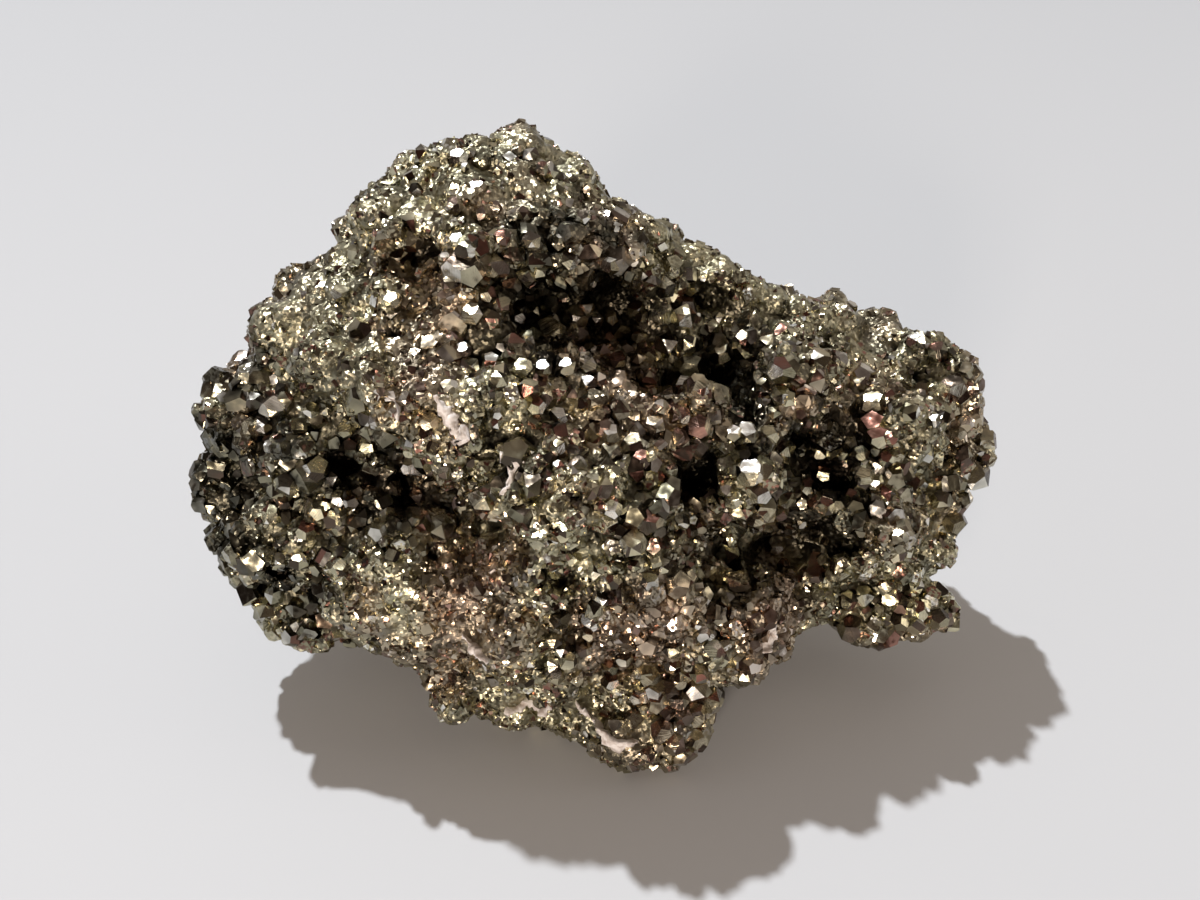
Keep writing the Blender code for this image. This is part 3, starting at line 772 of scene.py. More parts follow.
def relief_tree():
    """Raises rounded lumps, and smaller beads on them, out of the skin."""
    tree, given, result = group(
        "pyrite relief", lump_size="Float", lump_height="Float", bead_size="Float", bead_height="Float"
    )
    position = add(tree, "GeometryNodeInputPosition").outputs[0]
    normal = add(tree, "GeometryNodeInputNormal").outputs[0]
    heights = []
    for size, height in (("Lump Size", "Lump Height"), ("Bead Size", "Bead Height")):
        scale = add(tree, "ShaderNodeMath", {0: 1.0, 1: given[size]}, operation="DIVIDE")
        cells = add(tree, "ShaderNodeTexVoronoi", {"Vector": position, "Scale": scale.outputs[0]})
        squared = add(
            tree, "ShaderNodeMath", {0: cells.outputs["Distance"], 1: 2.0}, operation="POWER"
        )
        rounded = add(
            tree,
            "ShaderNodeMapRange",
            {"Value": squared.outputs[0], "From Max": 0.6, "To Min": 0.0, "To Max": -1.0},
        )
        raised = add(tree, "ShaderNodeMath", {0: rounded.outputs[0], 1: given[height]}, operation="MULTIPLY")
        heights.append(raised.outputs[0])
    total = add(tree, "ShaderNodeMath", {0: heights[0], 1: heights[1]}, operation="ADD")
    # The relief fades out towards the floor, and is lower in the coarse patches, which crystals shape.
    apart = add(tree, "ShaderNodeSeparateXYZ", {0: position})
    off_floor = add(tree, "ShaderNodeMapRange", {"Value": apart.outputs["Z"], "From Max": 5 * MM})
    rough = add(tree, "GeometryNodeInputNamedAttribute", {"Name": "rough"}, data_type="FLOAT")
    share = add(
        tree, "ShaderNodeMath", {0: rough.outputs["Attribute"], 1: -0.6, 2: 1.0}, operation="MULTIPLY_ADD"
    )
    for factor in (off_floor, share):
        total = add(
            tree, "ShaderNodeMath", {0: total.outputs[0], 1: factor.outputs[0]}, operation="MULTIPLY"
        )
    offset = add(tree, "ShaderNodeVectorMath", {0: normal, "Scale": total.outputs[0]}, operation="SCALE")
    moved = add(
        tree, "GeometryNodeSetPosition", {"Geometry": given["Geometry"], "Offset": offset.outputs[0]}
    )
    tree.links.new(moved.outputs[0], result.inputs["Geometry"])
    return tree


def shut_in(mesh, reach=22, rays=48):
    """For each vertex, the share of rays over it that meet the same skin within a reach in millimetres."""
    bm = bmesh.new()
    bm.from_mesh(mesh)
    skin = BVHTree.FromBMesh(bm)
    bm.normal_update()
    golden = math.pi * (3 - math.sqrt(5))
    shares = []
    for vert in bm.verts:
        turn = vert.normal.to_track_quat("Z", "Y")
        start = vert.co + vert.normal * 0.4 * MM
        hits = 0
        for i in range(rays):
            height = math.sqrt(1 - (i + 0.5) / rays)
            flat = math.sqrt(1 - height * height)
            ray = turn @ Vector((flat * math.cos(i * golden), flat * math.sin(i * golden), height))
            hits += skin.ray_cast(start, ray, reach * MM)[0] is not None
        shares.append(hits / rays)
    bm.free()
    return shares


def spread(values, source, targets):
    """Values at the source's vertices, read at the targets' places from the nearest three."""
    tree = KDTree(len(source))
    for i, point in enumerate(source):
        tree.insert(point, i)
    tree.balance()
    out = np.empty(len(targets), dtype=np.float32)
    for i, point in enumerate(targets):
        found = tree.find_n(point, 3)
        weights = [1 / (distance + 0.2 * MM) for _, _, distance in found]
        out[i] = sum(w * values[j] for w, (_, j, _) in zip(weights, found)) / sum(weights)
    return out


def dip(mesh, passes=10):
    """For each vertex, how far it lies under the skin's smoothed surface, in metres."""
    points = coordinates(mesh).astype(np.float64)
    one, two = read(mesh.edges, "vertices", 2, np.int32).T
    count = np.bincount(np.concatenate((one, two)), minlength=len(points))[:, None]
    smooth = points.copy()
    for _ in range(passes):
        total = np.zeros_like(smooth)
        for axis in range(3):
            total[:, axis] = np.bincount(one, smooth[two, axis], len(points)) + np.bincount(
                two, smooth[one, axis], len(points)
            )
        smooth = total / np.maximum(count, 1)
    return ((smooth - points) * outward(mesh)).sum(axis=1)


def stand_out(mesh, points, raised):
    """Moves the skin out on the open slopes, and in on the raised coarse patches that crystals make up."""
    stand = (0.9 - 1.7 * raised) * np.clip(points[:, 2] / (5 * MM), 0, 1) * MM
    points += outward(mesh) * stand[:, None].astype(np.float32)
    settle(mesh, points)


def dig(mesh, patches):
    """Pushes the skin in at the pits, and at small gaps in the given patches; gives each vertex's share."""
    points = coordinates(mesh).astype(np.float64)
    normals = outward(mesh).astype(np.float64)
    noise.seed_set(NOISE_SEED)
    field = np.array([noise.noise_vector(point / (FRAY_SIZE * MM)) for point in map(Vector, points)])
    ragged = points + field * FRAY * MM
    gaps = np.array([noise.noise(point / (GAP_SIZE * MM)) for point in map(Vector, points)])
    total = rise(gaps, 0.27, 0.12) * patches
    moved = points - normals * (GAP_DEPTH * MM * total)[:, None]
    for _, centre, reach in PITS:
        share = closeness(ragged, centre, reach)
        mean = (normals * share[:, None]).sum(axis=0)
        mean /= max(np.linalg.norm(mean), 1e-6)
        moved -= mean * (PIT_DEPTH * reach * MM * share)[:, None]
        total = np.maximum(total, share)
    settle(mesh, moved)
    return total


def mark(mesh, points, pockets, rough, dips, dug):
    """Keeps where crystals grow, how tarnished the druse is, and where dulling and painted shade darken it,
    as attributes.
    """
    pockets = 1 - (1 - pockets) * (1 - 0.75 * dips)
    # Nothing grows at the bottom of a pocket or a pit.
    deep = np.maximum(rise(pockets, 0.82, 0.1), rise(dug, 0.35, 0.3))
    coarse = np.maximum(rough, np.clip((pockets - 0.35) * 1.6, 0, 0.8))
    bare = near(points, SMOOTH_SPOTS) * (1 - rough)
    store(mesh, "valley", dips + 1.25 * deep)
    # Painted shade: how shut in each place is, full in the pits, for the material to darken toward
    # near-black.
    store(mesh, "pocket_shade", np.maximum(np.maximum(pockets**1.3, dug), 0.4 * rough))
    store(mesh, "coarse", coarse)
    store(mesh, "open", coarse + 0.3 * bare)
    store(mesh, "brown", near(points, BROWN_SPOTS))
    # Dulling, partly painted shade: under the brow, in the hollows, on the west side and at the back foot,
    # and a little on the bare lumps.
    store(mesh, "dull_and_shade", np.maximum(near(points, DULL_AND_SHADE_SPOTS), 0.15 * bare))
    store(mesh, "facet", np.full(len(mesh.polygons), 0.3), "FACE")
    store(mesh, "grain", np.full(len(points), 0.9))
    # Painted shade: the skin is drawn darkest between the coarse crystals and in the pits, where shade
    # falls.
    store(mesh, "root", 0.8 + 0.6 * np.maximum(rough, dug))


class PYRITE_OT_mass(bpy.types.Operator):
    """Makes the craggy mass that the crystals grow on"""

    bl_idname = "pyrite.mass"
    bl_label = "Mass"

    def execute(self, context):
        sizes = context.scene.pyrite_mass
        mass = merged_copy(NODE, "mass")
        shares = shut_in(mass.data)
        source = coordinates(mass.data)
        remesh = mass.modifiers.new("fine grid", "REMESH")
        remesh.mode = "VOXEL"
        remesh.voxel_size = sizes.grid
        smooth = mass.modifiers.new("ease", "SMOOTH")
        smooth.iterations = 6
        mass.data = evaluated_mesh(mass)
        mass.modifiers.clear()
        store(mass.data, "rough", near(coordinates(mass.data), COARSE_SPOTS))
        mass.data = run_tree(
            mass,
            relief_tree(),
            lump_size=sizes.lump_size,
            lump_height=sizes.lump_height,
            bead_size=sizes.bead_size,
            bead_height=sizes.bead_height,
        )
        mesh = mass.data
        points = coordinates(mesh)
        pockets = spread(shares, source, points)
        rough = near(points, COARSE_SPOTS)
        raised = rough * np.clip(points[:, 2] / (8 * MM) - 1.9, 0, 1)
        stand_out(mesh, points, raised)
        dips = np.clip(dip(mesh) / (0.7 * MM) - 0.1, 0, 1)
        mark(mesh, points, pockets, rough, dips, dig(mesh, raised))
        mesh.polygons.foreach_set("use_smooth", [True] * len(mesh.polygons))
        mesh.uv_layers.new(name="face map")
        mesh.materials.clear()
        mesh.materials.append(
            pyrite_material(context.scene.pyrite_finish, "pyrite sugar", 0.32, 0.85, (0.35, 0.8))
        )
        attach(mass, "root")
        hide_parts(NODE)
        return {"FINISHED"}


# The crystals


def cyclic(a, b, c):
    """The plane normals of a pyrite form: all signs of a, b, c in cyclic order."""
    normals = {
        (x * sx, y * sy, z * sz)
        for x, y, z in ((a, b, c), (c, a, b), (b, c, a))
        for sx, sy, sz in itertools.product((-1, 1), repeat=3)
    }
    return [Vector(normal).normalized() for normal in sorted(normals)]


CUBE = cyclic(1, 0, 0)
PYRITOHEDRON = cyclic(2, 1, 0)
OCTAHEDRON = cyclic(1, 1, 1)

# Growth habits: the forms whose faces bound the crystal, each at its distance from the centre.
HABITS = {
    "pyritohedron": ((PYRITOHEDRON, 0.9),),
    "bevelled cube": ((CUBE, 0.82), (PYRITOHEDRON, 0.92)),
    "cube": ((CUBE, 0.72),),
    "octahedron": ((OCTAHEDRON, 0.66),),
    "pyritohedron with corners cut": ((PYRITOHEDRON, 0.88), (OCTAHEDRON, 0.9)),
    "rounded": ((PYRITOHEDRON, 0.87), (CUBE, 0.88), (OCTAHEDRON, 0.87)),
}


def cleave(bm, normal, distance):
    """Cuts a solid with a plane, keeps the side towards the centre and closes the cut."""
    everything = bm.verts[:] + bm.edges[:] + bm.faces[:]
    cut = bmesh.ops.bisect_plane(
        bm, geom=everything, plane_co=normal * distance, plane_no=normal, dist=1e-5, clear_outer=True
    )
    rim = [item for item in cut["geom_cut"] if isinstance(item, bmesh.types.BMEdge)]
    if len(rim) > 2:
        bmesh.ops.contextual_create(bm, geom=rim)


def whole_crystal(habit, turn, rng, lead=1.0):
    """A crystal of a habit, unevenly grown and turned by a matrix, with its first face moved by the lead."""
    bm = bmesh.new()
    bmesh.ops.create_cube(bm, size=3.0)
    for planes, distance in HABITS[habit]:
        for normal in planes:
            cleave(bm, turn @ normal, distance * lead * rng.uniform(0.84, 1.12))
            lead = 1.0
    bmesh.ops.remove_doubles(bm, verts=bm.verts[:], dist=LEAST_EDGE)
    bmesh.ops.dissolve_degenerate(bm, edges=bm.edges[:], dist=LEAST_EDGE)
    return bm


def crystal(name, habit, rng, floor, sunk):
    """One crystal of a habit, turned at random, cut off below and sunk in the mass."""
    bm = whole_crystal(habit, Euler(rng.uniform(0, math.tau, 3)).to_matrix(), rng)
    cleave(bm, Vector((0, 0, -1)), floor)
    bmesh.ops.remove_doubles(bm, verts=bm.verts[:], dist=LEAST_EDGE)
    bmesh.ops.recalc_face_normals(bm, faces=bm.faces[:])
    bmesh.ops.translate(bm, verts=bm.verts[:], vec=(0, 0, -sunk))
    # Root runs from 0 at the top to 1 at the base; the material darkens the base with painted shade.
    root = bm.verts.layers.float.new("root")
    for vert in bm.verts:
        vert[root] = min(max((0.5 - vert.co.z) / 0.6, 0), 1)
    return object_from(bm, name)


def crystal_set(name, habits, count, floor, sunk, seed):
    """A collection of crystals for the nodes to draw from."""
    rng = np.random.default_rng(seed)
    home = bpy.data.collections.new(name)
    for i in range(count):
        made = crystal(f"{name} {i}", habits[i % len(habits)], rng, floor, sunk)
        bpy.context.scene.collection.objects.unlink(made)
        home.objects.link(made)
    return home


def druse_tree():
    """Grows crystals all over a skin, apart by a set spacing and half sunk in it."""
    tree, given, result = group(
        "pyrite druse",
        forms="Collection",
        spacing="Float",
        least_size="Float",
        most_size="Float",
        lean="Float",
        sink="Float",
        cover_by="String",
        cover_from="Float",
        cover_to="Float",
        west_limit="Float",
        east_limit="Float",
        seed="Int",
        material="Material",
    )
    position = add(tree, "GeometryNodeInputPosition").outputs[0]
    apart = add(tree, "ShaderNodeSeparateXYZ", {0: position}).outputs

    # How likely a crystal is: as the covering attribute says, raggedly, and not in valleys or on the floor.
    share = add(tree, "GeometryNodeInputNamedAttribute", {"Name": given["Cover By"]}, data_type="FLOAT")
    patches = add(tree, "ShaderNodeTexNoise", {"Vector": position, "Scale": 1 / (6 * MM), "Detail": 2.0})
    patchy = add(
        tree,
        "ShaderNodeMath",
        {0: patches.outputs["Fac"], 1: 0.7, 2: share.outputs["Attribute"]},
        operation="MULTIPLY_ADD",
    )
    cover = add(
        tree,
        "ShaderNodeMapRange",
        {"Value": patchy.outputs[0], "From Min": given["Cover From"], "From Max": given["Cover To"]},
    )
    west, east = given["West Limit"], given["East Limit"]
    inside = (
        add(tree, "ShaderNodeMath", {0: apart["X"], 1: west}, operation="GREATER_THAN"),
        add(tree, "ShaderNodeMath", {0: apart["X"], 1: east}, operation="LESS_THAN"),
        add(tree, "ShaderNodeMath", {0: apart["Z"], 1: 0.5 * MM}, operation="GREATER_THAN"),
    )
    valley = add(tree, "GeometryNodeInputNamedAttribute", {"Name": "valley"}, data_type="FLOAT")
    outside = add(
        tree, "ShaderNodeMath", {0: valley.outputs["Attribute"], 1: -0.8, 2: 1.0}, operation="MULTIPLY_ADD"
    )
    chance = cover
    for factor in (*inside, outside):
        chance = add(
            tree, "ShaderNodeMath", {0: chance.outputs[0], 1: factor.outputs[0]}, operation="MULTIPLY"
        )
    squared = add(tree, "ShaderNodeMath", {0: given["Spacing"], 1: 2.0}, operation="POWER")
    crowd = add(tree, "ShaderNodeMath", {0: 3.0, 1: squared.outputs[0]}, operation="DIVIDE")
    points = add(
        tree,
        "GeometryNodeDistributePointsOnFaces",
        {
            "Mesh": given["Geometry"],
            "Distance Min": given["Spacing"],
            "Density Max": crowd.outputs[0],
            "Density Factor": chance.outputs[0],
            "Seed": given["Seed"],
        },
        distribute_method="POISSON",
    )

    # Each crystal leans a little from the skin's normal and turns freely about it.
    tilt = add(tree, "ShaderNodeCombineXYZ", {"X": given["Lean"], "Y": given["Lean"], "Z": math.tau})
    untilt = add(
        tree, "ShaderNodeVectorMath", {0: tilt.outputs[0], 1: (-1.0, -1.0, 0.0)}, operation="MULTIPLY"
    )
    turns = add(
        tree,
        "FunctionNodeRandomValue",
        {0: untilt.outputs[0], 1: tilt.outputs[0], "Seed": given["Seed"]},
        data_type="FLOAT_VECTOR",
    )
    turned = add(tree, "FunctionNodeEulerToRotation", {0: turns.outputs[0]})
    facing = add(
        tree,
        "FunctionNodeRotateRotation",
        {"Rotation": points.outputs["Rotation"], "Rotate By": turned.outputs[0]},
        rotation_space="LOCAL",
    )
    # Small crystals are commoner than large ones.
    draw = add(tree, "FunctionNodeRandomValue", {2: 0.0, 3: 1.0, "Seed": 7}, data_type="FLOAT")
    skew = add(tree, "ShaderNodeMath", {0: draw.outputs[1], 1: 1.6}, operation="POWER")
    size = add(
        tree,
        "ShaderNodeMapRange",
        {"Value": skew.outputs[0], "To Min": given["Least Size"], "To Max": given["Most Size"]},
    )
    forms = add(
        tree,
        "GeometryNodeCollectionInfo",
        {"Collection": given["Forms"], "Separate Children": True, "Reset Children": True},
    )
    pick = add(tree, "FunctionNodeRandomValue", {4: 0, 5: 200, "Seed": 11}, data_type="INT")
    grown = add(
        tree,
        "GeometryNodeInstanceOnPoints",
        {
            "Points": points.outputs["Points"],
            "Instance": forms.outputs[0],
            "Pick Instance": True,
            "Instance Index": pick.outputs[2],
            "Rotation": facing.outputs[0],
            "Scale": size.outputs[0],
        },
    )

    # Away from the coarse patches the crystals sink deeper into the skin.
    coarse = add(tree, "GeometryNodeInputNamedAttribute", {"Name": "coarse"}, data_type="FLOAT")
    shallow = add(tree, "ShaderNodeMath", {0: 1.0, 1: coarse.outputs["Attribute"]}, operation="SUBTRACT")
    down = add(tree, "ShaderNodeMath", {0: shallow.outputs[0], 1: given["Sink"]}, operation="MULTIPLY")
    drop = add(tree, "ShaderNodeMath", {0: 0.0, 1: down.outputs[0]}, operation="SUBTRACT")
    downward = add(tree, "ShaderNodeCombineXYZ", {"Z": drop.outputs[0]})
    sunk = add(
        tree,
        "GeometryNodeTranslateInstances",
        {"Instances": grown.outputs[0], "Translation": downward.outputs[0], "Local Space": True},
    )
    grain = add(tree, "FunctionNodeRandomValue", {2: 0.0, 3: 1.0, "Seed": 5}, data_type="FLOAT")
    numbered = add(
        tree,
        "GeometryNodeStoreNamedAttribute",
        {"Geometry": sunk.outputs[0], "Name": "grain", "Value": grain.outputs[1]},
        data_type="FLOAT",
        domain="INSTANCE",
    )
    real = add(tree, "GeometryNodeRealizeInstances", {"Geometry": numbered.outputs[0]})
    painted = add(
        tree, "GeometryNodeSetMaterial", {"Geometry": real.outputs[0], "Material": given["Material"]}
    )
    tree.links.new(painted.outputs[0], result.inputs["Geometry"])
    return tree


def map_faces(mesh, seed, given=None):
    """Gives each flat face its own number, and a map in millimetres that runs along one of its edges.

    Faces with a given number of 0 or more keep that.
    """
    count = len(mesh.polygons)
    corners = read(mesh.loops, "vertex_index", kind=np.int32)
    starts = read(mesh.polygons, "loop_start", kind=np.int32)
    totals = read(mesh.polygons, "loop_total", kind=np.int32)
    normals = read(mesh.polygons, "normal", 3)
    points = coordinates(mesh)
    along = points[corners[starts + 1]] - points[corners[starts]]
    along /= np.maximum(np.linalg.norm(along, axis=1, keepdims=True), 1e-12)
    across = np.cross(normals, along)
    owner = np.repeat(np.arange(count), totals)
    offset = points[corners] - points[corners[starts]][owner]
    rng = np.random.default_rng(seed)
    shift = rng.random((count, 2))[owner] * 40
    both_ways = ((offset * along[owner]).sum(1), (offset * across[owner]).sum(1))
    face_map = np.column_stack(both_ways) / MM + shift
    mesh.uv_layers.new(name="face map").data.foreach_set("uv", face_map.astype(np.float32).ravel())
    numbers = rng.random(count)
    if given is not None:
        numbers = np.where(np.array(given) < 0, numbers, given)
    store(mesh, "facet", numbers, "FACE")


def grow(name, seed, **inputs):
    """Grows one piece of crystals over the mass.

    Each crystal has the mass's face map at its root, one value all over, so it shows no striae.
    """
    tree = bpy.data.node_groups.get("pyrite druse") or druse_tree()
    mesh = run_tree(bpy.data.objects["mass"], tree, seed=seed, lean=LEAN, **inputs)
    settle(mesh, coordinates(mesh))
    map_faces(mesh, seed)
    piece = linked(name, mesh)
    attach(piece, "root")


def grow_from(forms, pieces, seed, **inputs):
    """Grows pieces side by side from a set of crystals, each to its east limit, and removes the set."""
    west = FAR_WEST
    for i, (name, east) in enumerate(pieces):
        grow(name, seed + i, forms=forms, west_limit=west, east_limit=east, **inputs)
        west = east
    for obj in list(forms.objects):
        bpy.data.objects.remove(obj)
    bpy.data.collections.remove(forms)


def clear_around(mass, spots, gap):
    """Marks the mass around placed pieces as a valley, so that crystals leave them room."""
    points = coordinates(mass)
    valley = read(mass.attributes["valley"].data, "value")
    for centre, radius in spots:
        away = np.linalg.norm(points - np.array(centre, dtype=np.float32), axis=1)
        valley = np.where(away < radius + gap, NO_GROWTH, valley)
    store(mass, "valley", valley)


def best_facing(tint, towards, rng):
    """The way a placed crystal's best face looks, to mirror its lamp or roughly the room to the viewer."""
    lamp = LAMPS.get(tint, ROOM)
    facing = (lamp.normalized() - towards).normalized()
    if tint not in LAMPS:
        facing = (facing + Vector(rng.uniform(-0.25, 0.25, 3))).normalized()
    return facing


class PYRITE_OT_placed_crystals(bpy.types.Operator):
    """Sets the crystals that stand out, each with its best face towards the light or the front"""

    bl_idname = "pyrite.placed_crystals"
    bl_label = "Placed Crystals"

    def execute(self, context):
        mass = bpy.data.objects["mass"].data
        skin = skin_of(mass)
        rng = np.random.default_rng(8)
        habits = ("pyritohedron", "rounded", "pyritohedron with corners cut")
        verts, faces, numbers, spots = [], [], [], []
        for tint, *spot, half_width in (row for rows in PLACED.values() for row in rows):
            towards = (Vector(spot) * MM - VIEWPOINT).normalized()
            # At the rim a ray can miss, and the crystal takes the nearest place instead.
            place = skin.ray_cast(VIEWPOINT, towards)[0] or skin.find_nearest(Vector(spot) * MM)[0]
            place = place - towards * PROUD * MM
            spots.append((place, half_width * MM))
            facing = best_facing(tint, towards, rng)
            habit = habits[int(rng.integers(len(habits)))]
            first = HABITS[habit][0][0][0]
            turn = Matrix.Rotation(rng.uniform(0, math.tau), 3, facing)
            turn = turn @ first.rotation_difference(facing).to_matrix()
            bm = whole_crystal(habit, turn, rng, 0.86)
            start = len(verts)
            bm.verts.index_update()
            bm.normal_update()
            verts += [place + vert.co * half_width * 1.15 * MM for vert in bm.verts]
            # The best face takes the listed tint, which partly paints what it mirrors: pale tints a
            # highlight, dark tints a dark reflection; the other faces draw at random.
            for face in bm.faces:
                faces.append([start + vert.index for vert in face.verts])
                numbers.append(TINTS[tint] if face.normal.dot(facing) > 0.999 else -1)
            bm.free()
        mesh = bpy.data.meshes.new("placed crystals")
        mesh.from_pydata(verts, [], faces)
        map_faces(mesh, 8, numbers)
        # The painted-shade mask, too low here to darken the placed crystals.
        store(mesh, "pocket_shade", np.full(len(verts), 0.1))
        mesh.materials.append(
            pyrite_material(context.scene.pyrite_finish, "pyrite faces", 0.22, 1.0, (0.0, 0.55))
        )
        piece = linked("placed_crystals", mesh)
        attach(piece, "root")
        clear_around(mass, spots, -0.1 * MM)
        return {"FINISHED"}


def ribbon(bm, skin, path, half_width):
    """A closed strip of film along a path over a skin, ragged at its edges."""
    points = [Vector(point) * MM for point in path]
    stations = []
    for one, two in zip(points, points[1:]):
        steps = max(2, int((two - one).length / (FILM_STEP * MM)))
        stations += [one.lerp(two, i / steps) for i in range(steps)]
    stations.append(points[-1])
    rows = []
    for i, spot in enumerate(stations):
        ahead = stations[min(i + 2, len(stations) - 1)] - stations[max(i - 2, 0)]
        across = ahead.cross(spot - CENTRE).normalized()
        taper = math.sin(math.pi * (i + 0.6) / (len(stations) + 0.2)) ** 0.4
        ragged = min(max(0.25, 0.7 + 1.3 * noise.noise(spot * 600)), 1.1)
        width = half_width * MM * taper * ragged
        top, low = [], []
        for share in (i / 4 for i in range(-4, 5)):
            wander = noise.noise(spot * 1500 + Vector((share, 3.0, 0.0)))
            edge = spot + across * width * (share + 0.6 * wander)
            place, out, _, _ = skin.find_nearest(edge)
            lift = (1.15 - 0.7 * abs(share) ** 3 + 0.7 * noise.noise(place * 1400)) * MM
            top.append(bm.verts.new(place + out * lift))
            low.append(bm.verts.new(place - out * 0.5 * MM))
        rows.append(top + low[::-1])
    for one, two in zip(rows, rows[1:]):
        for i, vert in enumerate(one):
            j = (i + 1) % len(one)
            bm.faces.new((vert, one[j], two[j], two[i]))
    bm.faces.new(rows[0][::-1])
    bm.faces.new(rows[-1])


class PYRITE_OT_gangue(bpy.types.Operator):
    """Lays the pale film of gangue over the druse"""

    bl_idname = "pyrite.gangue"
    bl_label = "Gangue"

    def execute(self, context):
        mass = bpy.data.objects["mass"].data
        skin = skin_of(mass)
        bm = bmesh.new()
        kept_clear = []
        for _, half_width, path in VEINS:
            ribbon(bm, skin, path, half_width)
            for one, two in zip(path, path[1:]):
                middle = (Vector(one) + Vector(two)) * MM / 2
                kept_clear += [(Vector(one) * MM, half_width * MM), (middle, half_width * MM)]
        clear_around(mass, kept_clear, 0.6 * MM)
        bmesh.ops.recalc_face_normals(bm, faces=bm.faces[:])
        for face in bm.faces:
            face.smooth = True
        piece = object_from(bm, "gangue_film")
        piece.data.materials.append(gangue_material(context.scene.pyrite_finish))
        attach(piece, "root")
        return {"FINISHED"}


class PYRITE_OT_show_crystals(bpy.types.Operator):
    """Grows the largest crystals, deep in the hollows and on their ledges"""

    bl_idname = "pyrite.show_crystals"
    bl_label = "Show Crystals"

    def execute(self, context):
        size = context.scene.pyrite_crystals.show_size
        habits = ("pyritohedron", "bevelled cube", "pyritohedron with corners cut", "rounded")
        grow_from(
            crystal_set("show crystals", habits, 24, 0.45, 0.1, 1),
            (("show_crystals", FAR_EAST),),
            1,
            material=bpy.data.materials["pyrite faces"],
            spacing=size * 1.7,
            least_size=size * 0.7,
            most_size=size * 1.25,
            cover_by="coarse",
            cover_from=0.95,
            cover_to=1.25,
        )
        return {"FINISHED"}


class PYRITE_OT_coarse_crystals(bpy.types.Operator):
    """Grows the rounded crystals that fill the coarse patches, in three pieces"""

    bl_idname = "pyrite.coarse_crystals"
    bl_label = "Coarse Crystals"

    def execute(self, context):
        size = context.scene.pyrite_crystals.coarse_size
        habits = ("pyritohedron", "bevelled cube", "rounded", "pyritohedron with corners cut")
        grow_from(
            crystal_set("coarse crystals", habits, 28, 0.3, 0.1, 2),
            (
                ("coarse_crystals_west", -0.024),
                ("coarse_crystals_middle", 0.014),
                ("coarse_crystals_east", FAR_EAST),
            ),
            20,
            material=bpy.data.materials["pyrite faces"],
            spacing=size * 1.12,
            least_size=size * 0.7,
            most_size=size * 1.4,
            sink=0.35,
            cover_by="coarse",
            cover_from=0.33,
            cover_to=0.75,
        )
        return {"FINISHED"}


class PYRITE_OT_fine_crystals(bpy.types.Operator):
    """Grows fine crystals over the open slopes, in two pieces"""

    bl_idname = "pyrite.fine_crystals"
    bl_label = "Fine Crystals"

    def execute(self, context):
        size = context.scene.pyrite_crystals.fine_size
        habits = ("cube", "octahedron", "bevelled cube", "cube", "octahedron", "pyritohedron")
        grow_from(
            crystal_set("fine crystals", habits, 36, 0.0, 0.25, 3),
            (("fine_crystals_west", -0.004), ("fine_crystals_east", FAR_EAST)),
            10,
            material=pyrite_material(context.scene.pyrite_finish, "pyrite druse", 0.2, 0.95, (0.05, 0.5)),
            spacing=size * 1.12,
            least_size=size * 0.6,
            most_size=size * 1.5,
            sink=0.3,
            cover_by="open",
            cover_from=0.74,
            cover_to=0.34,
        )
        return {"FINISHED"}


# The stage


def matt_board(paint):
    """Painted board, matt and white, with no grain that shows."""
    material = bpy.data.materials.new("matt white board")
    material.use_nodes = True
    shader = material.node_tree.nodes["Principled BSDF"]
    shader.inputs["Base Color"].default_value = (*paint, 1.0)
    shader.inputs["Roughness"].default_value = 0.7
    return material


def studio():
    """The room that the crystals mirror, dark in front and pale behind, on a plain backdrop."""
    world = bpy.data.worlds.new("studio")
    world.use_nodes = True
    tree = world.node_tree
    direction = add(tree, "ShaderNodeTexCoord").outputs["Object"]
    apart = add(tree, "ShaderNodeSeparateXYZ", {0: direction}).outputs
    sideways = add(
        tree, "ShaderNodeMath", {0: apart["X"], 1: 0.35, 2: apart["Y"]}, operation="MULTIPLY_ADD"
    )
    behind = add(
        tree, "ShaderNodeMapRange", {"Value": sideways.outputs[0], "From Min": -0.6, "From Max": 0.9}
    )
    glow = add(
        tree,
        "ShaderNodeMix",
        {"Factor": behind.outputs[0], "A": colour("#4c3f38"), "B": colour("#b6afa9")},
        data_type="RGBA",
    )
    seen = add(tree, "ShaderNodeLightPath").outputs["Is Camera Ray"]
    shown = add(
        tree,
        "ShaderNodeMix",
        {"Factor": seen, "A": glow.outputs[2], "B": colour("#c4c5c7")},
        data_type="RGBA",
    )
    tree.links.new(shown.outputs[2], tree.nodes["Background"].inputs["Color"])
    return world


def panel_light(name, spot, size, power, code):
    """A soft light at a place, aimed at the specimen."""
    light = bpy.data.lights.new(name, "AREA")
    light.shape = "RECTANGLE"
    light.size, light.size_y = size
    light.energy = power
    light.color = linear(code)
    made = linked(name, light)
    made.location = spot
    made.rotation_euler = (CENTRE - Vector(spot)).to_track_quat("-Z", "Y").to_euler()


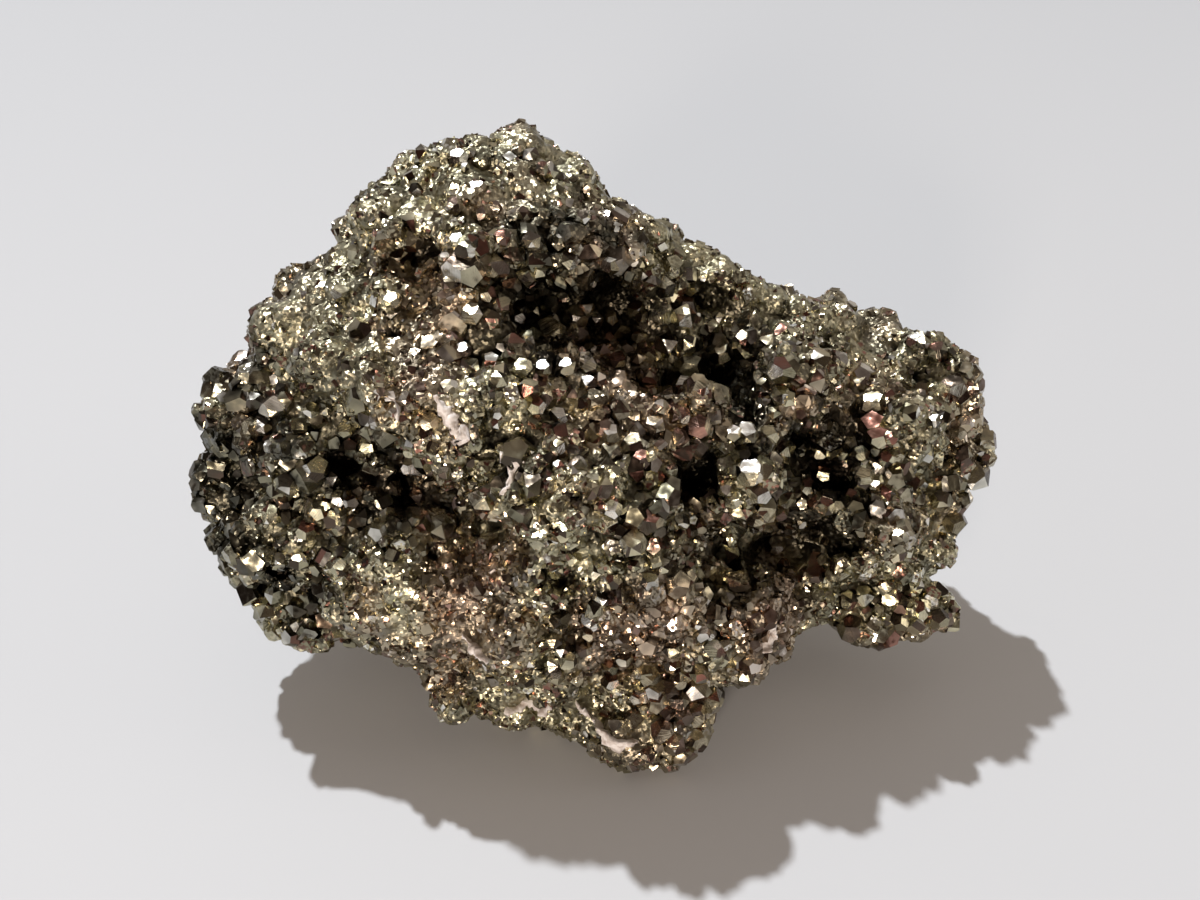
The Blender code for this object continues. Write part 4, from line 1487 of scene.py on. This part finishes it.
class PYRITE_OT_stage(bpy.types.Operator):
    """Sets the floor, the lights, the surroundings and the camera"""

    bl_idname = "pyrite.stage"
    bl_label = "Stage"

    def execute(self, context):
        stage = context.scene.pyrite_stage
        bm = bmesh.new()
        bmesh.ops.create_grid(bm, x_segments=1, y_segments=1, size=2.0)
        floor = object_from(bm, "floor")
        floor.location.z = -0.05 * MM
        floor.data.materials.append(matt_board(stage.floor))
        context.scene.world = studio()

        key = linked("key", bpy.data.lights.new("key", "SUN"))
        key.data.energy = stage.key
        key.data.angle = math.radians(1.6)
        key.data.color = linear("#f7faff")
        key.rotation_euler = KEY_DIRECTION.to_track_quat("-Z", "Y").to_euler()
        for name, spot, size, share, code in PANELS:
            panel_light(name, spot, size, share * stage.fill, code)

        camera = linked("camera", bpy.data.cameras.new("camera"))
        camera.data.sensor_width = 36.0
        camera.data.lens = 31.17
        camera.data.clip_start = 0.005
        camera.location = VIEWPOINT
        sight = Vector((0, math.cos(CAMERA_PITCH), -math.sin(CAMERA_PITCH)))
        camera.rotation_euler = sight.to_track_quat("-Z", "Y").to_euler()
        context.scene.camera = camera
        context.scene.view_settings.view_transform = "Standard"
        return {"FINISHED"}


class PYRITE_PT_panel(bpy.types.Panel):
    """Lists the pieces and their settings"""

    bl_label = "Pyrite"
    bl_idname = "PYRITE_PT_panel"
    bl_space_type = "VIEW_3D"
    bl_region_type = "UI"
    bl_category = "Pyrite"

    def draw(self, context):
        layout = self.layout
        for settings, operators in STEPS:
            box = layout.box()
            for name in getattr(context.scene, settings).__annotations__:
                box.prop(getattr(context.scene, settings), name)
            for operator in operators:
                box.operator(operator.bl_idname)


STEPS = (
    ("pyrite_mass", (PYRITE_OT_mass,)),
    (
        "pyrite_crystals",
        (
            PYRITE_OT_placed_crystals,
            PYRITE_OT_gangue,
            PYRITE_OT_show_crystals,
            PYRITE_OT_coarse_crystals,
            PYRITE_OT_fine_crystals,
        ),
    ),
    ("pyrite_finish", ()),
    ("pyrite_stage", (PYRITE_OT_stage,)),
)
SETTINGS = {
    "pyrite_mass": PyriteMassSettings,
    "pyrite_crystals": PyriteCrystalSettings,
    "pyrite_finish": PyriteFinishSettings,
    "pyrite_stage": PyriteStageSettings,
}
OPERATORS = [operator for _, operators in STEPS for operator in operators]


def register():
    for name, settings in SETTINGS.items():
        bpy.utils.register_class(settings)
        setattr(bpy.types.Scene, name, bpy.props.PointerProperty(type=settings))
    for shown in (*OPERATORS, PYRITE_PT_panel):
        bpy.utils.register_class(shown)


def unregister():
    for shown in (PYRITE_PT_panel, *reversed(OPERATORS)):
        bpy.utils.unregister_class(shown)
    for name, settings in SETTINGS.items():
        delattr(bpy.types.Scene, name)
        bpy.utils.unregister_class(settings)


def main():
    register()
    bpy.ops.pyrite.mass()
    bpy.ops.pyrite.placed_crystals()
    bpy.ops.pyrite.gangue()
    bpy.ops.pyrite.show_crystals()
    bpy.ops.pyrite.coarse_crystals()
    bpy.ops.pyrite.fine_crystals()
    bpy.ops.pyrite.stage()


if __name__ == "__main__":
    main()
